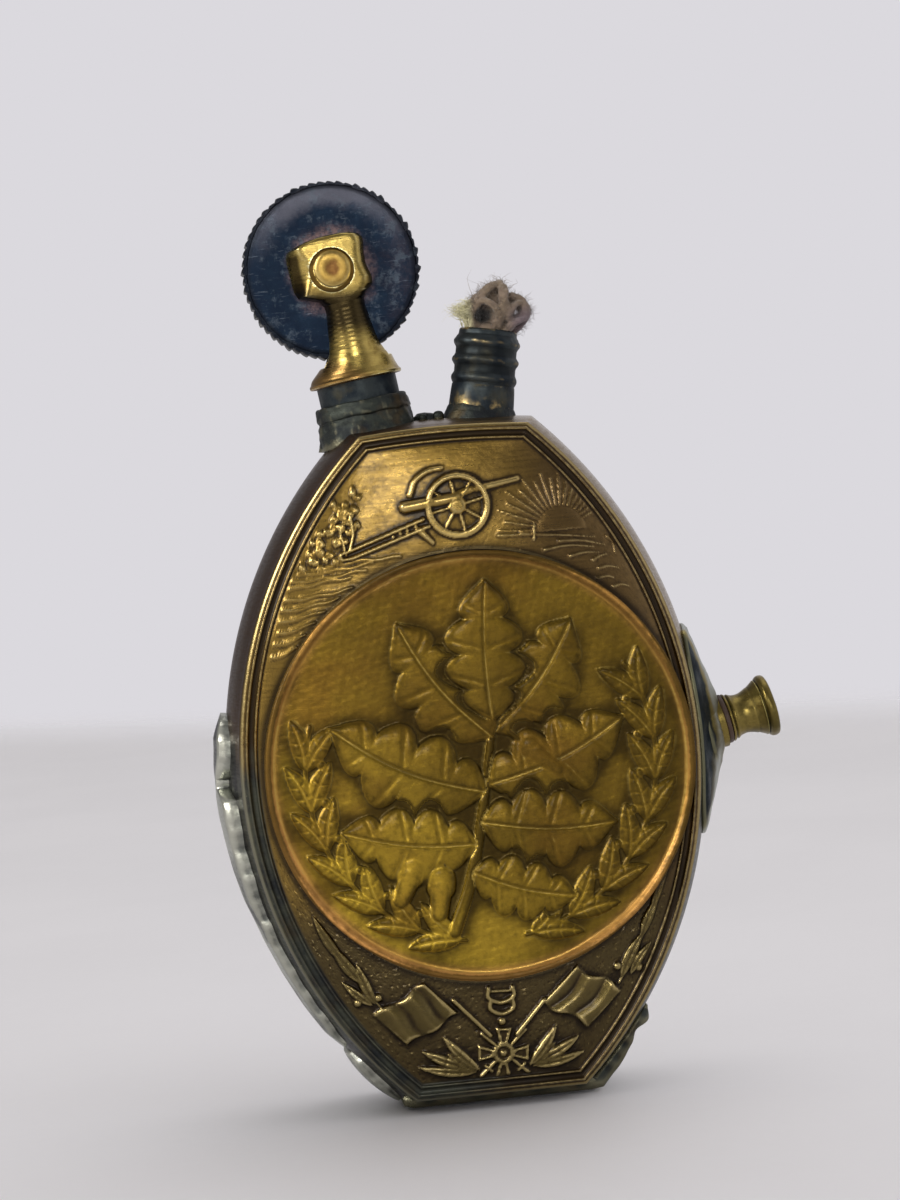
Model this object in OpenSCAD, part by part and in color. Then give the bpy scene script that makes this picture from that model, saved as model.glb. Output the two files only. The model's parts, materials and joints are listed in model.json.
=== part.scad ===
// Trench lighter: a soldered two-shell brass case with a medal on each face,
// a striker with a large toothed wheel, a wick tube and a screwed filler.
// +X is to the right seen from the front, the front faces -Y, +Z is up.
// The origin is the middle of the flat face that the lighter stands on.

/* [Case] */
// Height of the case from the table to the crown of its top
body_h = 57; // [50:0.5:64]
// Width of the case across the seam at its widest, which is at half its height
body_w = 40.2; // [39:0.2:46]
// Distance between the two curved sides at the height of the top
top_w = 15; // [14:0.2:18]
// Radius of the crowned top, seen from the front
crown_r = 75; // [60:1:120]
// Depth from the seam to the middle of one face
face_depth = 6.3; // [5.9:0.1:7]
// How much less deep the face is at its edges than in its middle
face_bulge = 0.7; // [0.4:0.05:0.9]
// Distance from the seam in to the edge of the face, at the widest point
side_in = 1.15; // [1:0.05:1.3]
// Distance from the crown in to the edge of the face
crown_in = 0.75; // [0.6:0.05:1.2]
// Distance from the flat base in to the edge of the face
base_in = 0.55; // [0.4:0.05:1]
// Thickness of the sheet brass
wall_t = 0.6; // [0.4:0.05:0.8]

/* [Raised border] */
// Distance from the edge of the face in to the outer raised line
border_inset = 0.1; // [0.1:0.05:0.3]
// Width of each raised line
line_w = 0.4; // [0.3:0.05:0.5]
// Distance between the two raised lines
line_gap = 0.4; // [0.3:0.05:0.5]
// Height of the raised lines over the face
line_h = 0.25; // [0.15:0.05:0.4]

/* [Medals] */
// Distance from the widest point of the seam in to the rim of each medal
medal_margin = 2.4; // [2.2:0.1:4]
// Distance of the medals' centre to the right of the middle, seen from the front
medal_x = 0.6; // [-0.6:0.1:0.6]
// Distance of the medals' centre under the height of the widest point
medal_drop = 0.2; // [-1:0.1:1]
// Thickness of a medal at its rim
medal_t = 2.1; // [1.8:0.1:2.6]
// Height of the rim over the medal's picture
rim_h = 0.35; // [0.2:0.05:0.5]
// Width of the rounded rim
rim_w = 1.3; // [0.8:0.1:1.8]
// Depth from the seam to the flat seat under a medal
seat_depth = 5.3; // [5:0.1:5.5]

/* [Strips and solder] */
// Thickness of the strip that the lighter stands on
base_t = 0.6; // [0.4:0.05:0.8]
// Width of the base strip from front to back
base_strip_w = 9; // [7:0.5:10]
// Height to which the base strip turns up on the filler side
base_lip_h = 6.5; // [4:0.5:9]
// Thickness of the strips over the seam
strip_t = 0.7; // [0.5:0.05:1]
// Width of the seam strip from front to back
strip_w = 7.5; // [5:0.5:9]
// Height at which the seam strip starts
strip_low = 5.4; // [4:0.1:9]
// Height at which the seam strip ends under its tab
strip_high = 27; // [20:0.5:28]
// Diameter of the round tab at the end of the seam strip
tab_d = 5.8; // [4:0.2:7]
// How far the tab stands out from the seam
tab_proud = 1.1; // [0.9:0.05:1.6]
// Height of the corner strip's top edge
corner_h = 5.1; // [3:0.1:5.2]
// Radius of the solder bead between the two tubes
bead_r = 1.5; // [1:0.1:2]

/* [Striker tube] */
// Distance of the striker tube to the left of the middle, at the top of the case
striker_x = 5.9; // [5.4:0.1:6.4]
// Lean of the striker tube to the left, in degrees
striker_lean = 7.9; // [4:0.1:9]
// Outer diameter of the threaded upper part
socket_d = 6.7; // [6.4:0.1:7]
// Bore of the threaded upper part
socket_bore_d = 5.3; // [4.8:0.1:5.6]
// Height of the tube over the case
tube_proud = 3.7; // [3:0.1:5]
// Depth of the threaded upper part under the top of the case
socket_depth = 4.5; // [3.5:0.1:6]
// Outer diameter of the lower part, which holds the spring
spring_tube_d = 4.2; // [3.8:0.1:5]
// Bore of the lower part
spring_bore_d = 2.9; // [2.8:0.05:3.2]
// Depth of the tube's closed end under the top of the case
tube_depth = 26; // [20:0.5:32]
// Thickness of the plug that closes the tube
end_plug_t = 1; // [0.8:0.1:2]
// Height of the solder around the foot of the striker tube
striker_solder_h = 2; // [1:0.1:2.5]

/* [Striker] */
// Diameter of the skirt that sits on the tube
skirt_d = 7.8; // [7.4:0.1:8.4]
// Height of the solid skirt under the slot for the wheel
skirt_h = 1.6; // [1.5:0.1:3]
// Length of the threaded shank that goes into the tube
shank_l = 5.5; // [4:0.1:6]
// Depth of the striker from front to back
fork_depth = 6.8; // [6:0.1:7.6]
// Width of the neck under the head
neck_w = 3.4; // [3:0.1:4]
// Width of the head that holds the axle screw
head_w = 5.5; // [5:0.1:6.4]
// Height of the head
head_h = 5.5; // [5:0.1:6.4]
// Diameter of the striking wheel over its teeth
wheel_d = 15; // [13:0.5:17]
// Thickness of the striking wheel
wheel_t = 3; // [2.4:0.1:3.4]
// Depth of the teeth
tooth_h = 0.35; // [0.2:0.05:0.5]
// Number of teeth
teeth = 84; // [60:1:96]
// Diameter of the axle that the wheel turns on
axle_d = 2; // [1.6:0.1:2.4]
// Diameter of the axle screw's head
screw_head_d = 3.1; // [2.8:0.1:3.4]
// Thickness of the axle screw's head
screw_head_t = 0.8; // [0.5:0.1:1]
// Diameter of the recess around the screw's head
recess_d = 3.8; // [3.6:0.1:4.2]

/* [Flint and spring] */
// Diameter of the flint
flint_d = 2.5; // [2.3:0.05:2.6]
// Length of the flint
flint_l = 5; // [4:0.5:6]
// Diameter of the spring wire
wire_d = 0.4; // [0.3:0.05:0.5]
// Distance from one spring turn to the next
spring_pitch = 1.1; // [1:0.05:1.6]

/* [Wick] */
// Distance of the wick tube to the right of the middle, at the top of the case
wick_x = 3.75; // [3.3:0.05:4]
// Lean of the wick tube to the right, in degrees
wick_lean = 10.4; // [6:0.1:12]
// Outer diameter of the plain part of the wick tube
wick_tube_d = 5.36; // [5.1:0.02:5.5]
// Bore of the wick tube
wick_bore_d = 4; // [3.6:0.1:4.2]
// Length of the wick tube over the case
wick_tube_proud = 7.1; // [6.4:0.1:9]
// Length of the wick tube inside the case
wick_tube_depth = 7; // [5:0.1:8]
// Diameter over the crests of the cap thread
thread_d = 5.64; // [5.56:0.02:5.8]
// Diameter in the grooves of the cap thread
thread_root_d = 5.16; // [4.9:0.02:5.2]
// Length of each thread crest
crest_l = 0.66; // [0.5:0.02:0.8]
// Distance from one thread crest to the next
thread_pitch = 1.5; // [1.3:0.05:1.7]
// Distance from the mouth of the tube to the first crest
thread_start = 0.8; // [0.6:0.1:1.2]
// Diameter of the wick
wick_d = 3.4; // [3:0.1:3.6]
// Diameter of the frayed wick over the tube
tuft_d = 5.4; // [4.6:0.1:5.5]
// Height of the frayed wick over the tube
tuft_h = 4.3; // [3:0.1:6]
// Length of the wick under the top of the case
wick_depth = 12; // [10:0.5:13]
// Height of the solder around the foot of the wick tube
wick_solder_h = 0.9; // [0.6:0.1:1.5]

/* [Filler] */
// Distance of the filler's axis over the widest point, where it leaves the case
filler_rise = 0.7; // [-1:0.1:2]
// Upward tilt of the filler, in degrees
filler_tilt = 12; // [0:0.5:14]
// Thickness of the patch plate around the filler
plate_t = 0.9; // [0.6:0.05:1.2]
// Length of the patch plate along the side
plate_l = 18; // [15:0.5:22]
// Width of the patch plate from front to back
plate_w = 10.6; // [9:0.2:11]
// Diameter of the boss at its foot
boss_d = 7.6; // [6.6:0.1:9]
// Distance from the seam to the top of the boss
boss_h = 1.3; // [1.1:0.1:2]
// Outer diameter of the filler bush
bush_d = 3.9; // [3.7:0.1:4.3]
// Diameter of the bush flange
flange_d = 4.6; // [4.4:0.1:5]
// Thickness of the bush flange and of the gasket
ring_t = 0.5; // [0.3:0.05:0.8]
// Bore of the filler bush
filler_bore_d = 3; // [2.6:0.1:3.1]
// Diameter of the gasket
gasket_d = 4.2; // [4:0.1:4.6]
// Diameter of the plug's waist
knob_waist_d = 3.6; // [3.2:0.1:4]
// Diameter of the plug's rim
knob_d = 5.4; // [4.8:0.1:6.4]
// Length of the plug from the gasket to its end
knob_l = 4; // [3.5:0.1:5]

/* [Clearances] */
// Radial gap of a running or screwed fit
fit = 0.05; // [0.02:0.01:0.1]
// Radial gap of a soldered fit
solder_gap = 0.02; // [0.01:0.01:0.04]
// Gap around the packing and the wick
soft_gap = 0.3; // [0.3:0.05:0.5]
// Gap between the wheel and the cheeks, on each side
cheek_gap = 0.15; // [0.1:0.05:0.25]
// Gap between the wheel and the floor of its slot
slot_gap = 0.3; // [0.2:0.02:0.6]

/* [Hidden] */
$fn = 96;
far = 200;
eps = 0.01;

// The wall leans in from the seam: share of the lean and depth at each of its bends
wall_bends = [[0, 0], [0.09, 1.6], [0.36, 3.4], [0.9, 5.2], [1, 8]];
// Share of the lean that is reached at the edge of the face
edge_share = 0.93;
waist_z = body_h / 2;
medal_d = body_w - 2 * medal_margin;
medal_z = waist_z - medal_drop;
filler_z = waist_z + filler_rise;

// Each side is an arc through the widest point and through the ends of the top width
narrowing = body_w - top_w;
side_r = pow(body_h - waist_z, 2) / narrowing + narrowing / 4;
side_cx = side_r - body_w / 2;
face_half_w = body_w / 2 - side_in;
cavity_depth = seat_depth - wall_t;
dome_r = face_half_w * face_half_w / (2 * face_bulge);
medal_face_t = medal_t - rim_h;

axle_s = tube_proud + skirt_h + slot_gap + wheel_d / 2;
slot_floor_s = tube_proud + skirt_h;
head_low_s = axle_s - head_h / 2;
head_high_s = axle_s + head_h / 2;
slot_w = wheel_t + 2 * cheek_gap;
flint_bore_d = flint_d + 4 * fit;
flint_top_s = axle_s - wheel_d / 2 - fit;
spring_low_s = end_plug_t - tube_depth;
spring_l = flint_top_s - flint_l - fit - spring_low_s;
spring_mean_r = spring_bore_d / 2 - wire_d / 2 - 2 * fit;
spring_turns = floor((spring_l - wire_d) / spring_pitch);
rings_a_turn = 8;
wire_sides = 6;

thread_l = 2 * thread_pitch + crest_l;
lip_d = thread_root_d - 0.36;

// Widths of the solder round each tube, at its foot and at its top
striker_foot = [0.2, 0.45];
wick_foot = [0.3, 0.15];
foot_reach = 2;
knob_seat_t = boss_h + 2 * ring_t + solder_gap;
plug_depth = 2;
bush_depth = 1.6;

// Half the width of the case at height z, grown outwards
function half_w(z, grow = 0) = sqrt(pow(side_r + grow, 2) - pow(z - waist_z, 2)) - side_cx;

// Position and direction of the two tubes and of the filler
module on_striker() {
    translate([-striker_x, 0, body_h]) rotate([0, -striker_lean, 0]) children();
}

module on_wick() {
    translate([wick_x, 0, body_h]) rotate([0, wick_lean, 0]) children();
}

module on_filler() {
    translate([body_w / 2, 0, filler_z]) rotate([0, 90 - filler_tilt, 0]) children();
}

// A ring or disc along Z from low to high, with its seam turned off the middle plane
module tube(d, bore, low, high) {
    translate([0, 0, low]) rotate([0, 0, 45]) difference() {
        cylinder(d = d, h = high - low);
        if (bore > 0) translate([0, 0, -eps]) cylinder(d = bore, h = high - low + 2 * eps);
    }
}

// A turned block whose rim leans in from radius r to radius face_r at the edge of the face;
// turn moves its seam out of use
module leaning_disc(r, face_r, turn = 0) {
    lean = (r - face_r) / edge_share;
    last = len(wall_bends) - 1;
    right = [for (i = [last:-1:0]) [r - lean * wall_bends[i][0], -wall_bends[i][1]]];
    left = [for (i = [1:last]) [r - lean * wall_bends[i][0], wall_bends[i][1]]];
    depth = wall_bends[last][1];
    rotate([90, 0, 0]) rotate([0, 0, turn]) rotate_extrude($fn = 360)
        polygon(concat([[0, -depth]], right, left, [[0, depth]]));
}

// One curved side of the case: side is -1 for the left and 1 for the right
module side_block(side, grow) {
    turn = side > 0 ? 180 : 0;
    translate([-side * side_cx, 0, waist_z]) leaning_disc(side_r + grow, side_r - side_in + grow, turn);
}

// The outer form of the case, or a smaller one inside it
module case_block(inset, depth) {
    low = base_t + inset;
    last = len(wall_bends) - 1;
    lean = base_in / edge_share;
    front = [for (i = [last:-1:0]) [-wall_bends[i][1], low + lean * wall_bends[i][0]]];
    back = [for (i = [1:last]) [wall_bends[i][1], low + lean * wall_bends[i][0]]];
    reach = wall_bends[last][1];
    intersection() {
        side_block(-1, -inset);
        side_block(1, -inset);
        translate([0, 0, body_h - crown_r]) leaning_disc(crown_r - inset, crown_r - crown_in - inset);
        translate([-body_w, 0, 0]) rotate([90, 0, 90]) linear_extrude(2 * body_w)
            polygon(concat(front, back, [[reach, body_h + 1], [-reach, body_h + 1]]));
        translate([-body_w, -depth, 0]) cube([2 * body_w, 2 * depth, body_h + 1]);
    }
}

// The outline of the face drawn smaller by an inset
module outline(inset) {
    intersection() {
        translate([-side_cx, waist_z]) circle(side_r - side_in - inset, $fn = 180);
        translate([side_cx, waist_z]) circle(side_r - side_in - inset, $fn = 180);
        translate([0, body_h - crown_r]) circle(crown_r - crown_in - inset, $fn = 360);
        translate([-body_w, base_t + base_in + inset]) square([2 * body_w, body_h]);
    }
}

// A gently bulging slab that sets the depth of the front face
module bulged_slab(raise) {
    translate([0, dome_r - face_depth, -1]) cylinder(r = dome_r + raise, h = body_h + 2, $fn = 720);
}

// One raised line that runs round the face
module border_line(inset) {
    intersection() {
        rotate([90, 0, 0]) linear_extrude(face_depth + 1) difference() {
            outline(inset);
            outline(inset + line_w);
        }
        bulged_slab(line_h);
        translate([-body_w, -far, 0]) cube([2 * body_w, far - cavity_depth, body_h + 1]);
    }
}

module medal_space(clearance) {
    translate([medal_x, -seat_depth, medal_z]) rotate([90, 0, 0])
        cylinder(d = medal_d + 2 * clearance, h = 3);
}

// What passes through the walls of the case
module tube_holes() {
    on_striker() tube(socket_d + 2 * solder_gap, 0, -socket_depth - 1, tube_proud);
    on_wick() tube(wick_tube_d + 2 * solder_gap, 0, -wick_tube_depth, wick_tube_proud);
    on_filler() tube(bush_d + 2 * solder_gap, 0, -bush_depth - 2, boss_h);
}

module shell() {
    difference() {
        union() {
            intersection() {
                case_block(0, face_depth + 1);
                bulged_slab(0);
                translate([-body_w, -far, 0]) cube([2 * body_w, far, body_h + 1]);
            }
            border_line(border_inset);
            border_line(border_inset + line_w + line_gap);
        }
        case_block(wall_t, cavity_depth);
        medal_space(solder_gap);
        tube_holes();
    }
}

module front_shell() {
    color("darkgoldenrod") shell();
}

module rear_shell() {
    color("goldenrod") mirror([0, 1, 0]) shell();
}

// A struck medal: a flat back, a sunk picture field and a rounded rim
module medal() {
    r = medal_d / 2;
    translate([medal_x, -seat_depth, medal_z]) rotate([90, 0, 0]) rotate_extrude() polygon([
        [0, 0], [r, 0], [r, medal_t - 0.3 * rim_w], [r - 0.1 * rim_w, medal_t - 0.1 * rim_w],
        [r - 0.35 * rim_w, medal_t], [r - 0.65 * rim_w, medal_t - 0.1 * rim_h], [r - rim_w, medal_face_t],
        [0, medal_face_t]]);
}

module front_medal() {
    color("olive") medal();
}

module rear_medal() {
    color("darkkhaki") mirror([0, 1, 0]) medal();
}

// A strip bent over the seam on one side, from height low to height high
module side_strip(side, low, high, width, thickness) {
    intersection() {
        difference() {
            side_block(side, thickness);
            side_block(side, 0);
        }
        translate([side > 0 ? 0 : -body_w, -width / 2, low]) cube([body_w, width, high - low]);
    }
}

// The strip over the lower left seam, with a narrow neck and a round tab at its top
module seam_strip() {
    tab_z = strip_high + 1.3 + tab_d / 2;
    color("silver") union() {
        side_strip(-1, strip_low, strip_high, strip_w, strip_t);
        side_strip(-1, strip_high - eps, tab_z, 0.5 * tab_d, strip_t);
        intersection() {
            side_strip(-1, tab_z - tab_d, tab_z + tab_d, tab_d, tab_proud);
            translate([-body_w, 0, tab_z]) rotate([0, 90, 0]) tube(tab_d, 0, 0, body_w);
        }
    }
}

module corner_strip() {
    color("lightgray") side_strip(-1, base_t, corner_h, strip_w, strip_t);
}

module base_strip() {
    low_half_w = half_w(base_t);
    color("gray") union() {
        translate([-low_half_w, -base_strip_w / 2, 0]) cube([2 * low_half_w, base_strip_w, base_t]);
        side_strip(1, 0, base_lip_h, strip_w, strip_t);
    }
}

// A low drop of solder between the two tubes
module solder_bead() {
    bead_x = (wick_x - wick_tube_d / 2 - striker_x + socket_d / 2) / 2;
    bead_h = 0.5 * bead_r;
    dome = [for (a = [0:18:90]) [bead_r * cos(a), bead_h * sin(a)]];
    color("dimgray") difference() {
        translate([bead_x, 0, body_h - 0.1]) rotate([0, 0, 45])
            rotate_extrude() polygon(concat([[0, -bead_h], [bead_r, -bead_h]], dome));
        case_block(0, face_depth + 1);
        on_striker() foot_cone(socket_d + 2 * solder_gap, striker_foot, striker_solder_h);
        on_wick() foot_cone(wick_tube_d + 2 * solder_gap, wick_foot, wick_solder_h);
    }
}

// The patch plate on the filler side with the boss that carries the bush
module filler_plate() {
    boss_low = -3;
    color("slategray") difference() {
        union() {
            intersection() {
                side_strip(1, filler_z - plate_l, filler_z + plate_l, plate_w, plate_t);
                translate([0, 0, filler_z]) rotate([0, 90, 0]) tube(plate_l, 0, 0, body_w);
            }
            difference() {
                on_filler() translate([0, 0, boss_low]) rotate([0, 0, 45])
                    cylinder(d1 = boss_d + 2, d2 = boss_d - 1.6, h = boss_h - boss_low);
                side_block(1, 0);
            }
        }
        on_filler() tube(bush_d + 2 * solder_gap, 0, boss_low - 1, boss_h + 1);
    }
}

module filler_bush() {
    color("peru") on_filler() difference() {
        union() {
            tube(bush_d, 0, -bush_depth, boss_h);
            tube(flange_d, 0, boss_h, boss_h + ring_t);
        }
        tube(filler_bore_d, 0, -bush_depth - 1, boss_h + ring_t + 1);
    }
}

module filler_gasket() {
    color("saddlebrown") on_filler() tube(gasket_d, filler_bore_d, boss_h + ring_t, knob_seat_t);
}

// The filler plug: a threaded shank and a trumpet-shaped knob with a rounded lip
module filler_plug() {
    waist_r = knob_waist_d / 2;
    rim_r = knob_d / 2;
    shank_r = filler_bore_d / 2 - fit;
    flare = [for (i = [0:6]) [waist_r + (rim_r - waist_r) * pow(i / 6, 2.4), knob_seat_t + knob_l * (0.2 + 0.5 * i / 6)]];
    lip = [for (a = [0:30:90]) [rim_r - 0.5 + 0.5 * cos(a), knob_seat_t + knob_l - 0.5 + 0.5 * sin(a)]];
    color("sienna") on_filler() rotate_extrude() polygon(concat(
        [[0, -plug_depth], [shank_r, -plug_depth], [shank_r, knob_seat_t], [waist_r + 0.2, knob_seat_t],
        [waist_r + 0.2, knob_seat_t + 0.1 * knob_l]],
        flare, lip, [[0.5 * rim_r, knob_seat_t + knob_l - 0.1], [0, knob_seat_t + knob_l - 0.1]]));
}

// The wick tube with the crests of the cap thread near its mouth
module wick_tube() {
    top = wick_tube_proud;
    first = top - thread_start;
    color("darkslategray") on_wick() difference() {
        union() {
            tube(wick_tube_d, 0, -wick_tube_depth, first - thread_l - 0.2);
            tube(thread_root_d, 0, first - thread_l - 0.3, first);
            tube(lip_d, 0, first - eps, top);
            for (i = [0:2]) {
                tube(thread_d, 0, first - i * thread_pitch - crest_l, first - i * thread_pitch);
            }
        }
        tube(wick_bore_d, 0, -wick_tube_depth - 1, top + 1);
    }
}

// The cone that the solder at the foot of a tube fills, from under the case up to height h
module foot_cone(tube_d, foot, h) {
    rotate([0, 0, 45]) translate([0, 0, -foot_reach])
        cylinder(d1 = tube_d + 4 * foot[0] + 2, d2 = tube_d + 2 * foot[1], h = h + foot_reach);
}

// A solder fillet round the foot of a tube
module foot_solder(tube_d, foot, h) {
    difference() {
        foot_cone(tube_d, foot, h);
        tube(tube_d + 2 * solder_gap, 0, -foot_reach - 1, h + 1);
    }
}

module wick_tube_solder() {
    color("dimgray") difference() {
        on_wick() foot_solder(wick_tube_d, wick_foot, wick_solder_h);
        case_block(0, face_depth + 1);
    }
}

module flint_tube_solder() {
    color("dimgray") difference() {
        on_striker() foot_solder(socket_d, striker_foot, striker_solder_h);
        case_block(0, face_depth + 1);
    }
}

// The wick with its frayed end, as one plain closed form
module wick() {
    shaft_r = wick_d / 2;
    low = wick_tube_proud + soft_gap;
    foot_a = -50;
    tuft = [for (i = [0:10]) let (a = foot_a + (90 - foot_a) * i / 10)
        [tuft_d / 2 * pow(max(cos(a), 0), 0.6), low + tuft_h * (sin(a) - sin(foot_a)) / (1 - sin(foot_a))]];
    color("tan") on_wick() rotate_extrude() polygon(concat(
        [[0, -wick_depth], [shaft_r, -wick_depth], [shaft_r, low]], tuft));
}

// The cotton that holds the fuel, with room for the spring tube, the wick and the bush
module cotton_packing() {
    top_z = body_h - wick_tube_depth - 2;
    color("ivory") difference() {
        intersection() {
            case_block(wall_t + soft_gap, cavity_depth - soft_gap);
            translate([-far / 2, -far / 2, 0]) cube([far, far, top_z]);
        }
        on_striker() tube(spring_tube_d + 2 * soft_gap, 0, -tube_depth - soft_gap, 0);
        on_wick() tube(wick_d + 2 * soft_gap, 0, -wick_depth - soft_gap, 0);
        on_filler() tube(bush_d + 2 * soft_gap, 0, -plug_depth - soft_gap, 5);
    }
}

module flint_tube() {
    color("darkolivegreen") on_striker() difference() {
        union() {
            tube(socket_d, 0, -socket_depth, tube_proud);
            tube(spring_tube_d, 0, -tube_depth, -socket_depth + eps);
        }
        tube(socket_bore_d, 0, 1 - socket_depth, tube_proud + 1);
        tube(spring_bore_d, 0, -tube_depth - 1, 2 - socket_depth);
    }
}

module flint_tube_plug() {
    color("gray") on_striker() tube(spring_bore_d - 2 * solder_gap, 0, -tube_depth, spring_low_s);
}

// The flint spring as one unbroken wire of round turns
module flint_spring() {
    rings = spring_turns * rings_a_turn;
    rise = (spring_l - wire_d) / rings;
    middle = [for (i = [0:rings]) [spring_mean_r * cos(i * 360 / rings_a_turn),
        spring_mean_r * sin(i * 360 / rings_a_turn), wire_d / 2 + i * rise]];
    points = [for (i = [0:rings]) for (j = [0:wire_sides - 1])
        let (a = i * 360 / rings_a_turn, b = j * 360 / wire_sides)
        middle[i] + wire_d / 2 * [cos(a) * cos(b), sin(a) * cos(b), sin(b)]];
    walls = [for (i = [0:rings - 1]) for (j = [0:wire_sides - 1])
        let (k = (j + 1) % wire_sides, low = i * wire_sides, high = low + wire_sides)
        each [[low + j, high + j, high + k], [low + j, high + k, low + k]]];
    last = rings * wire_sides;
    start_cap = [for (j = [1:wire_sides - 2]) [0, j, j + 1]];
    end_cap = [for (j = [1:wire_sides - 2]) [last, last + j + 1, last + j]];
    least = min([for (i = [0:rings - rings_a_turn]) norm(middle[i + rings_a_turn] - middle[i]) - wire_d]);
    echo(least_gap_between_turns_mm = least);
    color("lightsteelblue") on_striker() translate([0, 0, spring_low_s])
        polyhedron(points, concat(walls, start_cap, end_cap));
}

module flint() {
    color("black") on_striker() tube(flint_d, 0, flint_top_s - flint_l, flint_top_s);
}

// The outline of the striker seen from the front, from its brim to the top of the head
module fork_outline() {
    brim_r = skirt_d / 2;
    brim_top = tube_proud + 0.45 * skirt_h;
    half_neck = neck_w / 2;
    half_head = head_w / 2;
    neck_s = head_low_s - 0.1 * head_h;
    flare_r = 0.84 * brim_r;
    flank = [for (i = [0:8]) [half_neck + (flare_r - half_neck) * pow(1 - i / 8, 2.6),
        brim_top + (neck_s - brim_top) * i / 8]];
    side = [for (i = [0:6]) [half_head - 0.35 * sin(180 * i / 6) - 0.15 * i / 6,
        head_low_s + (0.06 + 0.78 * i / 6) * head_h]];
    crown = [for (a = [25:15:70]) [(half_head - 0.2) * cos(a), head_high_s - 0.14 * head_h * (1 - sin(a))]];
    right = concat([[brim_r, tube_proud], [brim_r, brim_top]], flank,
        [[half_head - 0.2, head_low_s]], side, crown);
    count = len(right);
    left = [for (i = [count - 1:-1:0]) [-right[i][0], right[i][1]]];
    polygon(concat(right, left));
}

// The striker: a threaded hollow shank, a skirt and two cheeks that carry the wheel
module striker_fork() {
    cheek_y = fork_depth / 2;
    color("gold") on_striker() difference() {
        union() {
            intersection() {
                rotate([90, 0, 0]) translate([0, 0, -skirt_d]) linear_extrude(2 * skirt_d) fork_outline();
                union() {
                    tube(skirt_d, 0, tube_proud, slot_floor_s);
                    translate([-skirt_d, -cheek_y, slot_floor_s - eps])
                        cube([2 * skirt_d, fork_depth, head_high_s - slot_floor_s + 1]);
                }
                cylinder(d = skirt_d + 0.8, h = head_high_s + 1);
            }
            tube(socket_bore_d - 2 * fit, 0, tube_proud - shank_l, tube_proud + eps);
        }
        tube(flint_bore_d, 0, tube_proud - shank_l - 1, slot_floor_s + 1);
        translate([-skirt_d, -slot_w / 2, slot_floor_s]) cube([2 * skirt_d, slot_w, far]);
        translate([0, 0, axle_s]) rotate([90, 0, 0]) {
            translate([0, 0, -fork_depth]) cylinder(d = axle_d + 2 * solder_gap, h = 2 * fork_depth);
            translate([0, 0, cheek_y - screw_head_t]) cylinder(d = recess_d, h = 2);
        }
    }
}

// The striking wheel: many small sloping teeth round a plain disc
module striker_wheel() {
    r = wheel_d / 2;
    rim = [for (i = [0:teeth - 1]) each [
        r * [cos(360 * i / teeth), sin(360 * i / teeth)],
        (r - tooth_h) * [cos(360 * (i + 0.75) / teeth), sin(360 * (i + 0.75) / teeth)]]];
    color("midnightblue") on_striker() translate([0, wheel_t / 2, axle_s]) rotate([90, 0, 0])
        difference() {
            linear_extrude(wheel_t) polygon(rim);
            translate([0, 0, -1]) cylinder(d = axle_d + 2 * fit, h = wheel_t + 2);
        }
}

module axle_screw() {
    cheek_y = fork_depth / 2;
    color("khaki") on_striker() translate([0, 0, axle_s]) rotate([90, 0, 0]) {
        translate([0, 0, -cheek_y]) cylinder(d = axle_d, h = fork_depth - screw_head_t);
        translate([0, 0, cheek_y - screw_head_t]) cylinder(d = screw_head_d, h = screw_head_t);
    }
}

front_shell();
rear_shell();
front_medal();
rear_medal();
seam_strip();
corner_strip();
base_strip();
solder_bead();
filler_plate();
filler_bush();
filler_gasket();
filler_plug();
wick_tube();
wick_tube_solder();
wick();
cotton_packing();
flint_tube();
flint_tube_plug();
flint_tube_solder();
flint_spring();
flint();
striker_fork();
striker_wheel();
axle_screw();
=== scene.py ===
"""Trench lighter: its looks, built around the packed CAD frame.

Settings are kept in metres, as Blender does. The mesh code works in millimetres, in the
CAD frame: X to the right, the front at -Y, Z up.
"""
import json
import math

import bpy
import numpy as np
from bpy.props import FloatProperty, FloatVectorProperty, IntProperty, PointerProperty
from mathutils import Matrix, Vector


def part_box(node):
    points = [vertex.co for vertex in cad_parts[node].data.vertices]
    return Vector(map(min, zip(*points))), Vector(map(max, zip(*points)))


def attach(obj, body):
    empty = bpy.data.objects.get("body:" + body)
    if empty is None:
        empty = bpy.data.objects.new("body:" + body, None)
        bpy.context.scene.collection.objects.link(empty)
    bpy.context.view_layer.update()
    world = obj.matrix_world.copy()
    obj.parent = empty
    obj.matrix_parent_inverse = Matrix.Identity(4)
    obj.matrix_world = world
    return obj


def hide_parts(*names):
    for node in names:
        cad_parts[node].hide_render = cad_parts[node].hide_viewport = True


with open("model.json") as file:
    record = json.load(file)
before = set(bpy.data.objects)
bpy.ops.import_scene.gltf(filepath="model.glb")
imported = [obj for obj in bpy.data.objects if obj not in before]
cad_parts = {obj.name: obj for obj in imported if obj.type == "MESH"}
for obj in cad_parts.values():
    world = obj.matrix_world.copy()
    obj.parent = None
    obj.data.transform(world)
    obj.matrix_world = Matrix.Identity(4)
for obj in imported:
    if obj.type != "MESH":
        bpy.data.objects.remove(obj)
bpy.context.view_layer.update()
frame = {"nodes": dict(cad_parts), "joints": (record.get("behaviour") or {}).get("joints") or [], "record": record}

bl_info = {
    "name": "Trench lighter",
    "version": (1, 0, 0),
    "blender": (4, 5, 0),
    "location": "View3D > Sidebar > Trench lighter",
    "description": "Builds the trench lighter around its CAD frame",
    "category": "Object",
}

MM = 0.001
JOINTS = {joint["name"]: joint for joint in frame["joints"]}
MOUNTS = {mount["name"]: mount for mount in frame["record"]["mounts"]}


# Local frames of the tilted pieces

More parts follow.
